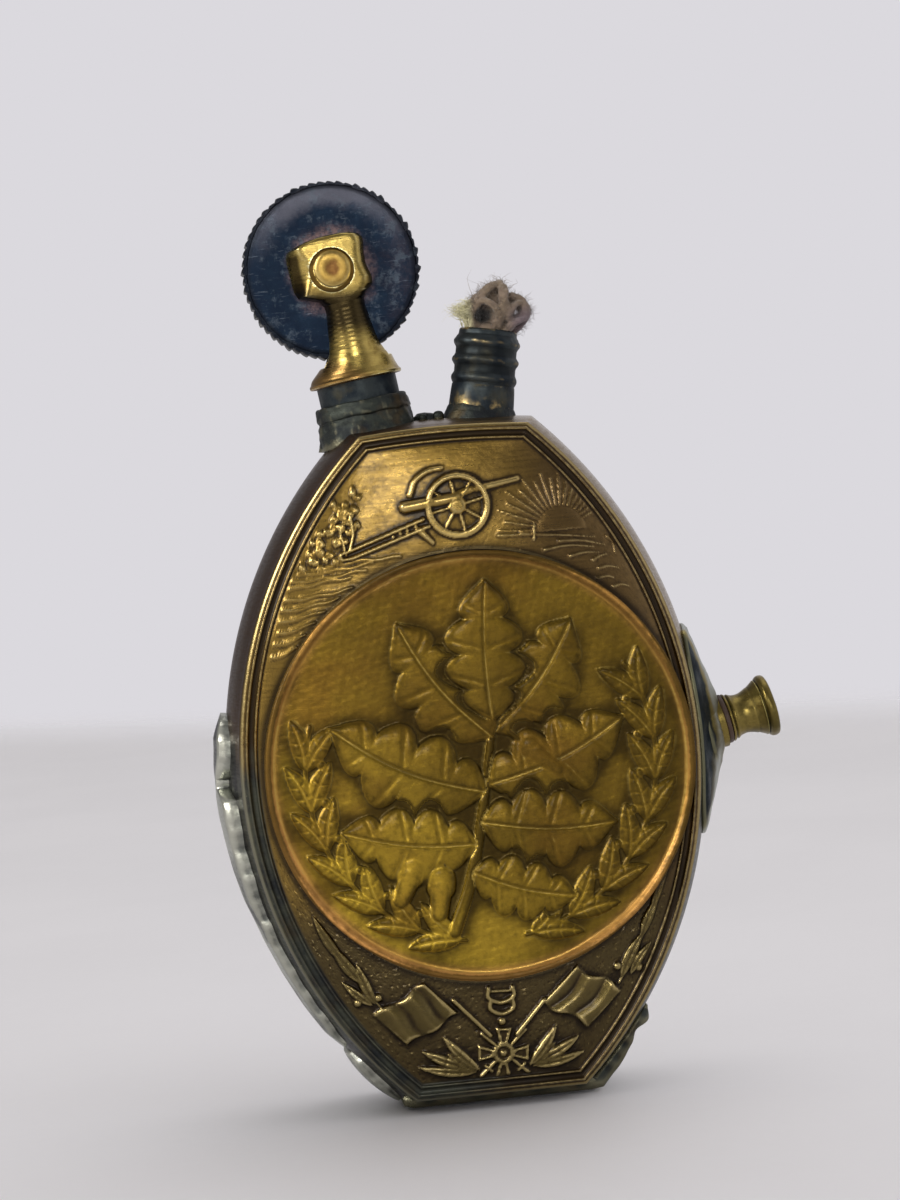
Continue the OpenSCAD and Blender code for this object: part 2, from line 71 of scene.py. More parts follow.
class Axis:
    """A tilted local frame: x across, y to the back, z along the axis of a piece."""

    def __init__(self, point, up, along):
        """point lies on the axis at the height along, which sets where z is 0."""
        up = np.array(up, float)
        self.up = up / np.linalg.norm(up)
        self.origin = np.array(point, float) / MM - self.up * along
        self.turn = np.column_stack([np.cross((0, 1, 0), self.up), (0, 1, 0), self.up])

    def out(self, points):
        return points @ self.turn.T + self.origin

    def spot(self, along):
        return tuple(self.origin + self.up * along)

    def solid(self, rows, hollow=False):
        """The closed part through rows of rings given in this frame."""
        return skin(self.out(rows), hollow)


# Heights along the axes, and the sizes at which the drawn forms are as they were drawn, in millimetres
AXLE_HEIGHT = 13.1
FIRST_CREST = 5.97
PLUG_TURN = 2.3
TUFT_WIDTH, TUFT_HEIGHT, STRIP_THICKNESS, ORNAMENT_HEIGHT = 5.3, 4.3, 0.7, 0.5
STRIKER = Axis(JOINTS["wheel_spin"]["pos_m"], JOINTS["striker_unscrew"]["axis"], AXLE_HEIGHT)
WICK = Axis(MOUNTS["wick_thread"]["pos_m"], JOINTS["wick_pull"]["axis"], FIRST_CREST)
FILLER = Axis(JOINTS["filler_turn"]["pos_m"], JOINTS["filler_lift"]["axis"], PLUG_TURN)


# Settings

def srgb(*rgb):
    """A colour given from 0 to 255 as it shows on a screen."""
    return tuple(c / 3294.6 if c <= 10 else ((c / 255 + 0.055) / 1.055) ** 2.4 for c in rgb)


def amount(name, description, value, **more):
    return FloatProperty(name=name, description=description, default=value, min=0, **more)


def length(name, description, mm):
    return amount(name, description, mm * MM, unit="LENGTH", subtype="DISTANCE", precision=5)


def colour(name, description, *rgb):
    return FloatVectorProperty(name=name, description=description, default=srgb(*rgb),
                               size=3, min=0, max=1, subtype="COLOR")


def spread(node, axis):
    """The size of a CAD node along one axis, in millimetres."""
    low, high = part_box(node)
    return (high[axis] - low[axis]) / MM


class CaseSettings(bpy.types.PropertyGroup):
    """Sizes of the two pressed shells."""
    width: length("Width", "Width of the case across the seam", spread("front_shell", 0))
    height: length("Height", "Height of the top of the case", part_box("front_shell")[1].z / MM)
    top_width: length("Top width", "Distance between the curved sides at the top", 15)
    crown_radius: length("Crown radius", "Radius of the crowned top", 75)
    face_depth: length("Face depth", "Depth from the seam to the middle of a face", 6.3)
    line_height: length("Line height", "Height of the two raised lines of the border", 0.19)
    pillow: length("Pillow", "How far the field between border and medal swells out", 0.9)
    ornament: length("Ornament height", "Height of the boldest stamped ornament", ORNAMENT_HEIGHT)


class MedalSettings(bpy.types.PropertyGroup):
    """Sizes of the medals."""
    diameter: length("Diameter", "Diameter of each medal", spread("front_medal", 0))
    thickness: length("Thickness", "Thickness at the rim", spread("front_medal", 1))
    rim_width: length("Rim width", "Width of the soft rim", 0.7)
    relief: length("Relief", "Height of the struck leaves over the field", 0.64)


class StripSettings(bpy.types.PropertyGroup):
    """Sizes of the strips, the patch plate and the solder."""
    thickness: length("Strip thickness", "Thickness of the strips over the seam", STRIP_THICKNESS)
    ragged: length("Raggedness", "How far the cut edges and the solder wander", 0.22)
    plate: length("Plate thickness", "Thickness of the patch plate round the filler", 0.9)


class StrikerSettings(bpy.types.PropertyGroup):
    """Sizes of the striking wheel and of the fork that holds it."""
    wheel: length("Wheel diameter", "Diameter over the teeth", spread("striker_wheel", 0))
    wheel_thickness: length("Wheel thickness", "Thickness of the wheel", spread("striker_wheel", 1))
    teeth: IntProperty(name="Teeth", description="Number of teeth on the wheel", default=60, min=20)
    tooth: length("Tooth depth", "Depth of the teeth", 0.3)
    neck: length("Neck width", "Width of the fork under its head", 3.4)
    brim: length("Brim width", "Width of the fork where it sits on its tube", 7.8)
    seed: IntProperty(name="Seed", description="Seed of the teeth's wear", default=4)


class WickSettings(bpy.types.PropertyGroup):
    """Sizes of the wick and of its frayed end."""
    width: length("Tuft width", "Width of the frayed end", TUFT_WIDTH)
    height: length("Tuft height", "Height of the frayed end", TUFT_HEIGHT)
    fibres: IntProperty(name="Fibres", description="Fibres on each square centimetre", default=1500)
    fibre: length("Fibre length", "Length of the short fibres", 0.9)
    seed: IntProperty(name="Seed", description="Seed of the fibres", default=7)


class ColourSettings(bpy.types.PropertyGroup):
    """Colours of the metals and of the cotton."""
    brass: colour("Case brass", "Aged brass of the case", 132, 106, 48)
    patina: colour("Patina", "Dark brown patina in the hollows of the brass", 46, 34, 16)
    rubbed: colour("Rubbed brass", "Brass that handling has rubbed bright", 206, 184, 124)
    bronze: colour("Medal bronze", "Olive gold of the medals", 110, 87, 27)
    # The worn rim's copper, made bright so that it also stands as a painted highlight on the medal's rim.
    rim_copper_and_highlight: colour("Coppery rim", "Coppery colour of the medal's worn rim", 214, 156, 88)
    tin: colour("Tin", "Bright tinned strip", 158, 160, 150)
    oxide: colour("Oxide", "Grey-green skin of old solder", 54, 58, 52)
    blueing: colour("Blueing", "Blue-black of the striking wheel", 13, 29, 46)
    rust: colour("Rust", "Purple brown rust on the wheel", 112, 90, 88)
    gold: colour("Bright brass", "Turned brass of the fork", 162, 141, 78)
    cotton: colour("Cotton", "Scorched cotton of the wick", 104, 89, 71)


class StageSettings(bpy.types.PropertyGroup):
    """The floor, the backdrop and the lamps."""
    floor: colour("Floor", "Colour of the table", 235, 232, 235)
    backdrop: colour("Backdrop", "Colour behind the table", 219, 217, 222)
    key: amount("Key lamp", "Power of the window-like lamp on the left", 2.7, unit="POWER")
    fill: amount("Fill lamp", "Power of the lamp on the right", 0.5, unit="POWER")
    ambient: amount("Ambient", "Strength of the even light all round", 0.79)
    window: amount("Window", "Power of the small lamp that glints off the front", 0.65, unit="POWER")
    room: amount("Room", "How bright metal sees the room in front, as a share of the backdrop", 0.33)


# Mesh helpers

def ripple(points, size, seed):
    """Smooth noise from about -1 to 1, with bumps about size across."""
    rng = np.random.default_rng(seed)
    total = np.zeros(points.shape[:-1])
    for _ in range(8):
        heading = rng.normal(size=3)
        heading *= 2 * math.pi * rng.uniform(0.5, 1.5) / (size * np.linalg.norm(heading))
        total += np.sin(points @ heading + rng.uniform(0, 2 * math.pi))
    return total / 4


def wander(values, size, seed):
    """The same noise along one line."""
    return ripple(np.column_stack([values, 0 * values, 0 * values]), size, seed)


def blurred(grid, reach, wrap=False):
    """The grid of numbers averaged over its surroundings, reach cells to each side."""
    for _ in range(3):
        for axis in (0, 1):
            pad = [(0, 0), (0, 0)]
            pad[axis] = (reach + 1, reach)
            total = np.cumsum(np.pad(grid, pad, mode="wrap" if wrap and axis else "edge"), axis)
            span = 2 * reach + 1
            first, last = (total[:-span], total[span:]) if axis == 0 else (total[:, :-span], total[:, span:])
            grid = (last - first) / span
    return grid


def blend(value, low, high):
    """0 up to low, 1 from high on and a smooth step between."""
    t = np.clip((value - low) / (high - low), 0, 1)
    return t * t * (3 - 2 * t)


def curve(points, steps=6):
    """A smooth curve through the points."""
    points = np.array(points, float)
    padded = np.vstack([2 * points[0] - points[1], points, 2 * points[-1] - points[-2]])
    t = np.linspace(0, 1, steps, endpoint=False)[:, None]
    bits = []
    for a, b, c, d in zip(padded, padded[1:], padded[2:], padded[3:]):
        bits.append(0.5 * (2 * b + (c - a) * t + (2 * a - 5 * b + 4 * c - d) * t ** 2
                           + (3 * b - a - 3 * c + d) * t ** 3))
    return np.vstack(bits + [points[-1:]])


def full_turn(columns):
    """Evenly spaced angles once round."""
    return np.linspace(0, 2 * math.pi, columns, endpoint=False)


def turned(profile, columns=96):
    """Rings round the Z axis through a profile of radius and height."""
    profile = np.array(profile, float)
    angle = full_turn(columns)
    r, height = profile[:, :1], profile[:, 1:2]
    return np.stack([r * np.cos(angle), r * np.sin(angle), height + 0 * angle], -1)


def skin(rows, hollow=False):
    """The closed surface through rows of rings. The ends get poles, or a hollow one joins up."""
    count, size = rows.shape[:2]
    points = rows.reshape(-1, 3)
    index = np.arange(count * size).reshape(count, size)
    if hollow:
        index = np.vstack([index, index[:1]])
    after = np.roll(index, -1, axis=1)
    quads = np.stack([index[:-1], after[:-1], after[1:], index[1:]], -1).reshape(-1, 4)
    tris = np.zeros((0, 3), int)
    if not hollow:
        points = np.vstack([points, rows[0].mean(0), rows[-1].mean(0)])
        first = np.full(size, count * size)
        tris = np.vstack([np.stack([after[0], index[0], first], -1),
                          np.stack([index[-1], after[-1], first + 1], -1)])
    return points, quads, tris


def outward(part):
    """The same part with all its faces pointing out."""
    points, quads, tris = part
    faces = np.vstack([quads[:, :3], quads[:, [0, 2, 3]], tris])
    a, b, c = (points - points.mean(0))[faces].transpose(1, 0, 2)
    if np.einsum("ij,ij->i", a, np.cross(b, c)).sum() < 0:
        quads, tris = quads[:, ::-1], tris[:, ::-1]
    return points, quads, tris


def mirrored(part):
    """The part on the other face of the lighter."""
    points, quads, tris = part
    return points * (1, -1, 1), quads, tris


def mesh_of(name, parts):
    """One mesh from closed parts of points, quads and triangles."""
    points, loops, sizes, start = [], [], [], 0
    for part in parts:
        corners, quads, tris = outward(part)
        points.append(corners)
        loops += [quads.ravel() + start, tris.ravel() + start]
        sizes += [np.full(len(quads), 4), np.full(len(tris), 3)]
        start += len(corners)
    points, loops, sizes = np.vstack(points), np.concatenate(loops), np.concatenate(sizes)
    mesh = bpy.data.meshes.new(name)
    mesh.vertices.add(len(points))
    mesh.vertices.foreach_set("co", (points * MM).ravel())
    mesh.loops.add(len(loops))
    mesh.loops.foreach_set("vertex_index", loops)
    mesh.polygons.add(len(sizes))
    mesh.polygons.foreach_set("loop_start", np.cumsum(sizes) - sizes)
    mesh.update(calc_edges=True)
    return mesh


def read(items, field, width, kind=float):
    """One field of a mesh's vertices, edges or triangles, in rows."""
    values = np.zeros(len(items) * width, kind)
    items.foreach_get(field, values)
    return values.reshape(-1, width)


def add_layer(mesh, name, values):
    """A number for each vertex that the material can read."""
    layer = mesh.attributes.new(name, "FLOAT", "POINT")
    layer.data.foreach_set("value", np.asarray(values, np.float32))


def add_wear(mesh, rounds):
    """Stores how far each vertex stands out of its surroundings, in millimetres."""
    count = len(mesh.vertices)
    points, normals = read(mesh.vertices, "co", 3) / MM, read(mesh.vertices, "normal", 3)
    edges = read(mesh.edges, "vertices", 2, int)
    a, b = edges.T
    links = np.maximum(np.bincount(edges.ravel(), minlength=count), 1)[:, None]
    soft = points.copy()
    for _ in range(rounds):
        near = np.column_stack([np.bincount(a, soft[b, i], count) + np.bincount(b, soft[a, i], count)
                                for i in range(3)])
        soft = 0.4 * soft + 0.6 * near / links
    add_layer(mesh, "wear", ((points - soft) * normals).sum(1))


def placed(name, data):
    """A new object in the scene."""
    thing = bpy.data.objects.new(name, data)
    bpy.context.scene.collection.objects.link(thing)
    return thing


def temporary(mesh):
    """An object that is only a step on the way."""
    return placed("step", mesh)


def add_piece(name, shape, material, body, node, sharp=None, rounds=6, layers=None):
    """Puts a mesh, or one made of closed parts, into the scene as a piece on its body."""
    mesh = mesh_of(name, shape) if isinstance(shape, list) else shape
    for label, values in (layers or {}).items():
        add_layer(mesh, label, values)
    mesh.polygons.foreach_set("use_smooth", np.ones(len(mesh.polygons), bool))
    if sharp:
        mesh.set_sharp_from_angle(angle=math.radians(sharp))
    add_wear(mesh, rounds)
    mesh.materials.clear()
    mesh.materials.append(material)
    piece = placed(name, mesh)
    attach(piece, body)
    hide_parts(node)


def add_both(name, part, layers, material, slot):
    """The same piece on the front and, mirrored, on the rear of the tank."""
    for face, shape in (("front", part), ("rear", mirrored(part))):
        add_piece(f"{name}_{face}", [shape], material, "tank", f"{face}_{name}", rounds=9, layers=layers)


def settled(thing):
    """The mesh of a temporary object after its modifiers; the object goes."""
    bpy.context.view_layer.update()
    graph = bpy.context.evaluated_depsgraph_get()
    mesh = bpy.data.meshes.new_from_object(thing.evaluated_get(graph))
    bpy.data.objects.remove(thing)
    return mesh


def remeshed(thing, size):
    """The object with one even skin over all its parts, its faces about size across."""
    modifier = thing.modifiers.new("remesh", "REMESH")
    modifier.mode = "VOXEL"
    modifier.voxel_size = size * MM
    return thing


def carved(mesh, tools):
    """The mesh after each closed tool part is cut out of it."""
    thing = temporary(mesh)
    cutters = []
    for part in tools:
        cutter = temporary(mesh_of("cutter", [part]))
        cutters.append(cutter)
        modifier = thing.modifiers.new("cut", "BOOLEAN")
        modifier.operation = "DIFFERENCE"
        modifier.solver = "EXACT"
        modifier.object = cutter
    mesh = settled(thing)
    for cutter in cutters:
        bpy.data.objects.remove(cutter)
    return mesh


def part_of(mesh):
    """The points and triangles of a mesh, as a part."""
    mesh.calc_loop_triangles()
    return (read(mesh.vertices, "co", 3) / MM, np.zeros((0, 4), int),
            read(mesh.loop_triangles, "vertices", 3, int))


def rod(points, radii, sides=5):
    """A thin round part along a line of points."""
    points, radii = np.array(points, float), np.array(radii, float)
    along = np.gradient(points, axis=0)
    along /= np.linalg.norm(along, axis=1)[:, None]
    across = np.cross(along, (0.31, 0.87, 0.38))
    across /= np.linalg.norm(across, axis=1)[:, None]
    other = np.cross(along, across)
    angle = full_turn(sides)[:, None, None]
    rings = points + radii[:, None] * (np.cos(angle) * across + np.sin(angle) * other)
    return skin(rings.transpose(1, 0, 2))


# Stamped and struck relief

class Relief:
    """Raised forms on a flat ground, gathered at the points x, z."""

    def __init__(self, x, z):
        self.x, self.z, self.height = x, z, np.zeros_like(x)

    def near(self, points, reach):
        low, high = np.min(points, 0) - reach, np.max(points, 0) + reach
        return np.nonzero((self.x > low[0]) & (self.x < high[0]) & (self.z > low[1]) & (self.z < high[1]))

    def top(self, at, height):
        self.height[at] = np.maximum(self.height[at], height)

    def round_spot(self, x, z, r):
        """Where a disc lies, and how far each point is from its middle as a share of its radius."""
        at = self.near([(x, z)], r)
        return at, np.hypot(self.x[at] - x, self.z[at] - z) / r

    def stroke(self, points, width, height, end=None):
        """A rounded raised line; end is its width at its far end."""
        points = np.array(points, float)
        widths = np.linspace(width, width if end is None else end, len(points))
        for a, b, w0, w1 in zip(points, points[1:], widths, widths[1:]):
            at = self.near([a, b], width)
            run = b - a
            x, z = self.x[at] - a[0], self.z[at] - a[1]
            t = np.clip((x * run[0] + z * run[1]) / (run @ run), 0, 1)
            gap = np.hypot(x - t * run[0], z - t * run[1]) / np.maximum((w0 + (w1 - w0) * t) / 2, 0.01)
            self.top(at, height * np.sqrt(np.clip(1 - gap ** 2, 0, 1)))

    def strokes(self, *strokes):
        for line, *sizes in strokes:
            self.stroke(line, *sizes)

    def disc(self, x, z, r, height, dome=0.5):
        """A raised disc with a rounded edge."""
        at, gap = self.round_spot(x, z, r)
        self.top(at, height * np.clip(1 - gap ** 2, 0, 1) ** dome)

    def hollow(self, x, z, r, depth):
        """A sunk disc."""
        at, gap = self.round_spot(x, z, r)
        self.height[at] -= depth * (1 - blend(gap, 0.8, 1))

    def leaf(self, base, tip, width, height, lobes=0, bend=0.0):
        """A leaf with a midrib and side veins. Lobes cut its edge, bend curls it sideways."""
        base, run = np.array(base, float), np.array(tip, float) - base
        size = np.hypot(*run)
        at = self.near([base, base + run], width)
        x, z = self.x[at] - base[0], self.z[at] - base[1]
        u = np.clip((x * run[0] + z * run[1]) / size ** 2, 0, 1)
        v = (z * run[0] - x * run[1]) / size - bend * size * np.sin(math.pi * u)
        half = width / 2 * np.sin(math.pi * u ** 0.85) ** 0.75
        if lobes:
            half = half * (0.58 + 0.42 * np.abs(np.sin(math.pi * (lobes * u + 0.1))) ** 0.6)
        share = np.abs(v) / np.maximum(half, 0.01)
        body = np.sqrt(np.clip(1 - share ** 2.6, 0, 1)) * (0.7 + 0.3 * np.sin(math.pi * u))
        vein = np.abs((u * max(lobes, 4) - 0.35 * share) % 1 - 0.5)
        groove = 0.3 * np.exp(-(v / 0.12) ** 2) + 0.16 * blend(vein, 0.38, 0.5) * blend(share, 0, 0.3)
        along = (u > 0) & (u < 1)
        inside = (share < 1) & along
        if lobes:
            self.height[at] *= np.where(inside, 0, np.where((share < 1.2) & along, 0.4, 1))
        self.top(at, height * (body - groove * body) * inside)

    def cloth(self, top, foot, fly, height, seed):
        """A waving flag. Its hoist runs from top to foot, and it flies along fly."""
        top, hoist, fly = np.array(top, float), np.array(foot, float) - top, np.array(fly, float)
        at = self.near([top, top + hoist, top + fly, top + hoist + fly], 1)
        x, z = self.x[at] - top[0], self.z[at] - top[1]
        area = hoist[0] * fly[1] - hoist[1] * fly[0]
        u = (x * fly[1] - z * fly[0]) / area
        v = (hoist[0] * z - hoist[1] * x) / area
        u = u + 0.05 * np.sin(v * 9 + seed)
        tall, wide = np.hypot(*hoist), np.hypot(*fly)
        gap = np.minimum(np.minimum(u, 1 - u) * tall, np.minimum(v, 1 - v) * wide)
        fold = 0.5 + 0.5 * np.cos(2 * math.pi * (v * 2.4 + 0.12 * np.sin(5 * u + seed)))
        self.top(at, height * blend(gap, 0, 0.22) * (0.3 + 0.7 * fold ** 0.7))


def arc(x, z, r, start, end, steps=12):
    """Points along an arc, in degrees anticlockwise from +X."""
    angle = np.radians(np.linspace(start, end, steps))
    return np.column_stack([x + r * np.cos(angle), z + r * np.sin(angle)])


def bearing(x, z, r, angle):
    """The point at a distance and an angle from x, z."""
    return arc(x, z, r, angle, angle, 1)[0]


def field_gun(relief):
    """A field gun on its wheel, seen from the side."""
    x, z = 0.5, 49.65
    relief.strokes((curve([(-3.3, 50.8), (-2.8, 51.9), (-1.8, 52.6), (-0.6, 52.8)]), 0.4, 0.22),
                   ([(-3.8, 49.85), (0.5, 50.3)], 0.95, 0.42), ([(2.2, 50.85), (5.6, 51.4)], 0.62, 0.3, 0.45),
                   ([(-2.4, 48.75), (-8.9, 46.6)], 0.3, 0.3), ([(-2.0, 48.15), (-8.4, 46.1)], 0.3, 0.3),
                   (curve([(-8.9, 46.6), (-9.35, 46.45), (-9.2, 46.05), (-8.4, 46.1)]), 0.28, 0.32))
    for share in (0.08, 0.2, 0.3, 0.4):
        relief.disc(-2.6 - 5.9 * share, 48.35 - 2.0 * share, 0.16, 0.26)
    relief.stroke([(-2.8, 47.9), (-1.8, 46.8)], 0.6, 0.25, 0.35)
    relief.hollow(x, z, 2.4, 0.14)
    relief.stroke([(-1.2, 50.0), (1.8, 50.9)], 0.6, 0.16)
    for turn in range(12, 372, 45):
        relief.strokes(([bearing(x, z, 1.3, turn), (x, z)], 0.17, 0.2), ([(x, z), bearing(x, z, 2.3, turn)], 0.2, 0.2))
    relief.stroke(arc(x, z, 2.42, 0, 360, 60), 0.56, 0.42)
    relief.disc(x, z, 0.74, 0.36, 0.35)
    relief.disc(x, z, 0.34, 0.48)


def sunrise(relief):
    """A half disc with a fan of rays over low streaks of ground."""
    x, z = 8.8, 46.9
    for count, angle in enumerate(np.linspace(176, 24, 18)):
        far = 5.5 - 1.3 * abs(count - 3) / 13 - (0.6 if count % 2 else 0)
        relief.stroke([bearing(x, z, far, angle), bearing(x, z, 2.1, angle)], 0.1, 0.08, 0.26)
    at = relief.near([(x - 2.1, z), (x + 2.1, z + 2)], 0.1)
    swell = np.clip(1 - np.hypot((relief.x[at] - x) / 2.1, (relief.z[at] - z) / 1.95) ** 2, 0, 1)
    relief.top(at, 0.1 * swell ** 0.3 * (relief.z[at] > z))
    relief.stroke([(6.6, 47.6), (6.5, 46.3)], 0.2, 0.2)
    for line in (((3.6, 46.9), (7, 46.7), (11.6, 46.1)), ((5.5, 46.9), (7.5, 46.6), (9.0, 46.5)),
                 ((8.6, 46.0), (10.4, 45.9), (12.3, 45.4)), ((7.3, 45.4), (9.3, 45.6), (11.4, 45.3)),
                 ((9.4, 44.7), (10.6, 44.9), (11.8, 44.8)), ((11.3, 44.2), (11.9, 44.5), (12.5, 44.6)),
                 ((11.7, 43.5), (12.5, 43.6), (13.3, 43.4)), ((11.5, 42.7), (12.3, 42.8), (12.9, 42.6)),
                 ((12.8, 41.9), (13.5, 42.0), (14.1, 41.8)), ((12.7, 46.0), (13.1, 45.5), (13.2, 44.6))):
        relief.stroke(curve(line), 0.34, 0.1, 0.1)


def shrubs(relief):
    """Bushes behind the gun and furrows in front of the medal."""
    rng = np.random.default_rng(12)
    for x, z in ((-7.9, 51), (-8.3, 50.2), (-9.3, 50.6), (-8.1, 48.9), (-8.8, 48.4), (-9.3, 49.9), (-9.9, 49),
                 (-10.4, 48.2), (-9.9, 47.4), (-9.1, 47.5), (-10.6, 46.5), (-11.6, 46.6), (-12.3, 45.8),
                 (-11.2, 45.8), (-11.3, 47.4), (-9.8, 46.3), (-8.5, 49.6), (-10.9, 47.2)):
        for _ in range(3):
            turn = rng.uniform(0, 2 * math.pi)
            size = rng.uniform(0.5, 1.0)
            tip = (x + size * math.cos(turn), z + size * math.sin(turn))
            relief.leaf((x, z), tip, rng.uniform(0.4, 0.75), rng.uniform(0.12, 0.28), bend=rng.uniform(-0.15, 0.15))
    relief.strokes((curve([(-8.3, 49.4), (-8.2, 48.0), (-8.6, 46.7)]), 0.28, 0.3),
                   (curve([(-9.3, 48.8), (-9.1, 47.6), (-8.9, 46.4)]), 0.22, 0.25))
    furrows = (((-12.8, 45.1), (-10.3, 45.2), (-6.8, 45.6)), ((-10.9, 45.4), (-8.6, 45.8), (-4.5, 45.9)),
               ((-13.7, 44.0), (-11.6, 44.3), (-8.7, 44.6)), ((-13.4, 44.6), (-10.6, 44.7), (-7.4, 45.1)),
               ((-14.2, 43.1), (-11.3, 43.3), (-8.6, 43.7)), ((-14.5, 42.3), (-12.2, 42.5), (-9.8, 43.0)),
               ((-14.7, 41.4), (-12.7, 41.7), (-11.0, 42.1)), ((-14.9, 40.5), (-13.1, 40.8), (-11.9, 41.2)),
               ((-15.3, 39.6), (-13.9, 39.8), (-12.8, 40.2)), ((-15.6, 38.6), (-14.6, 38.8), (-13.6, 39.2)))
    for count, line in enumerate(furrows):
        points = curve(line, 8)
        points[:, 1] += 0.08 * np.sin(points[:, 0] * 2.4 + count)
        relief.strokes((points, 0.4, 0.09, 0.22), (points[3:-4] + (0.2, 0.33), 0.2, 0.05, 0.1))


def cross_and_flags(relief):
    """A cross on a ribbon between two flags and two laurel sprays."""
    x, z = 0.35, 4.55
    tilt = math.radians(-5)
    relief.strokes(([(-1.3, 6.3), (2.3, 2.7)], 0.34, 0.26), ([(2.3, 6.3), (-1.6, 2.8)], 0.34, 0.26),
                   ([(1.5, 3.0), (2.05, 3.5)], 0.26, 0.28), ([(-0.7, 3.1), (-1.2, 3.6)], 0.26, 0.28))
    at = relief.near([(x, z)], 2.5)
    dx, dz = relief.x[at] - x, relief.z[at] - z
    across, along = dx * math.cos(tilt) + dz * math.sin(tilt), dz * math.cos(tilt) - dx * math.sin(tilt)
    for u, v in ((along, across), (-along, across), (across, along), (-across, along)):
        half = 0.16 + 0.27 * u
        edge = np.minimum(half - np.abs(v), 2.15 - u)
        arm = 0.34 * blend(edge, 0, 0.14) * (u > 0)
        sunk = np.minimum(half - 0.24 - np.abs(v), 1.92 - u)
        relief.top(at, arm - 0.2 * blend(sunk, 0, 0.08) * (u > 1.0))
    relief.disc(x, z, 0.96, 0.4, 0.25)
    relief.hollow(x, z, 0.62, 0.22)
    relief.disc(x, z, 0.34, 0.4)
    relief.disc(x + 0.1, z + 2.65, 0.36, 0.4)
    for low, half in ((9.0, 0.95), (8.05, 0.85)):
        loop = curve([(0.5 - half, low + 1.0), (0.45 - half, low + 0.2), (0.5, low - 0.25), (0.6 + half, low + 0.15),
                      (0.6 + half, low + 0.9)])
        relief.strokes((loop, 0.42, 0.3), ([(0.5 - half, low + 0.75), (0.55 + half, low + 0.65)], 0.3, 0.2))
    relief.strokes(([(-3.4, 9.3), (-0.6, 6.1)], 0.42, 0.34), ([(4.1, 8.6), (1.6, 6.0)], 0.42, 0.34))
    relief.cloth((-5.6, 11.0), (-2.9, 8.1), (-4.6, -2.3), 0.42, 0.4)
    relief.cloth((6.9, 11.2), (3.7, 8.3), (4.0, -2.4), 0.42, 2.2)
    for base, tip, width in (((-1.7, 3.3), (-4.5, 6.4), 1.0), ((-2.2, 3.5), (-6.3, 5.3), 1.05),
                             ((-2.0, 3.2), (-6.7, 4.0), 0.9), ((-2.0, 3.3), (-4.3, 5.0), 0.7)):
        relief.leaf(base, tip, width, 0.4, bend=0.04)
        relief.leaf((0.75 - base[0], base[1]), (0.4 - tip[0], tip[1]), width, 0.4, bend=-0.04)


def sprigs(relief):
    """Laurel sprigs with berries in the lower corners of the field."""
    for base, tip, width in (((-9.8, 9.6), (-11.0, 13.0), 1.0), ((-10.6, 11.3), (-13.0, 14.9), 1.05),
                             ((-10.0, 9.5), (-12.3, 11.6), 0.8), ((-12.0, 13.2), (-14.2, 17.2), 0.9),
                             ((10.6, 9.7), (12.8, 13.3), 1.05), ((11.4, 9.9), (13.4, 12.4), 0.8),
                             ((12.6, 12.9), (14.3, 16.0), 0.95), ((13.6, 14.8), (15.4, 18.4), 0.8)):
        relief.leaf(base, tip, width, 0.36, bend=0.03)
    relief.strokes((curve([(-9.3, 9.2), (-10.6, 11.0), (-12.4, 13.9)]), 0.2, 0.2),
                   (curve([(10.4, 9.3), (11.9, 11.5), (13.6, 14.6)]), 0.2, 0.2))
    for x, z in ((-9.5, 10.1), (-11.2, 9.8), (10.4, 10.7), (12.2, 10.4)):
        relief.disc(x, z, 0.36, 0.36)


def case_ornament(x, z):
    """Height of all that is stamped into the field of a shell, and of its bold forms alone."""
    relief = Relief(x, z)
    place = np.stack([x, z, 0 * x], -1)
    for draw in (field_gun, sunrise, shrubs, cross_and_flags, sprigs):
        draw(relief)
    bold = relief.height.copy()
    ground = np.clip(1 - relief.height / 0.1, 0, 1)
    grain = ripple(place, 0.5, 5) * ripple(place, 0.32, 6)
    relief.height += ground * 0.06 * grain * np.where(z < 22, 1, 0.15)
    relief.height += 0.025 * ripple(place, 3.4, 9)
    return relief.height, bold


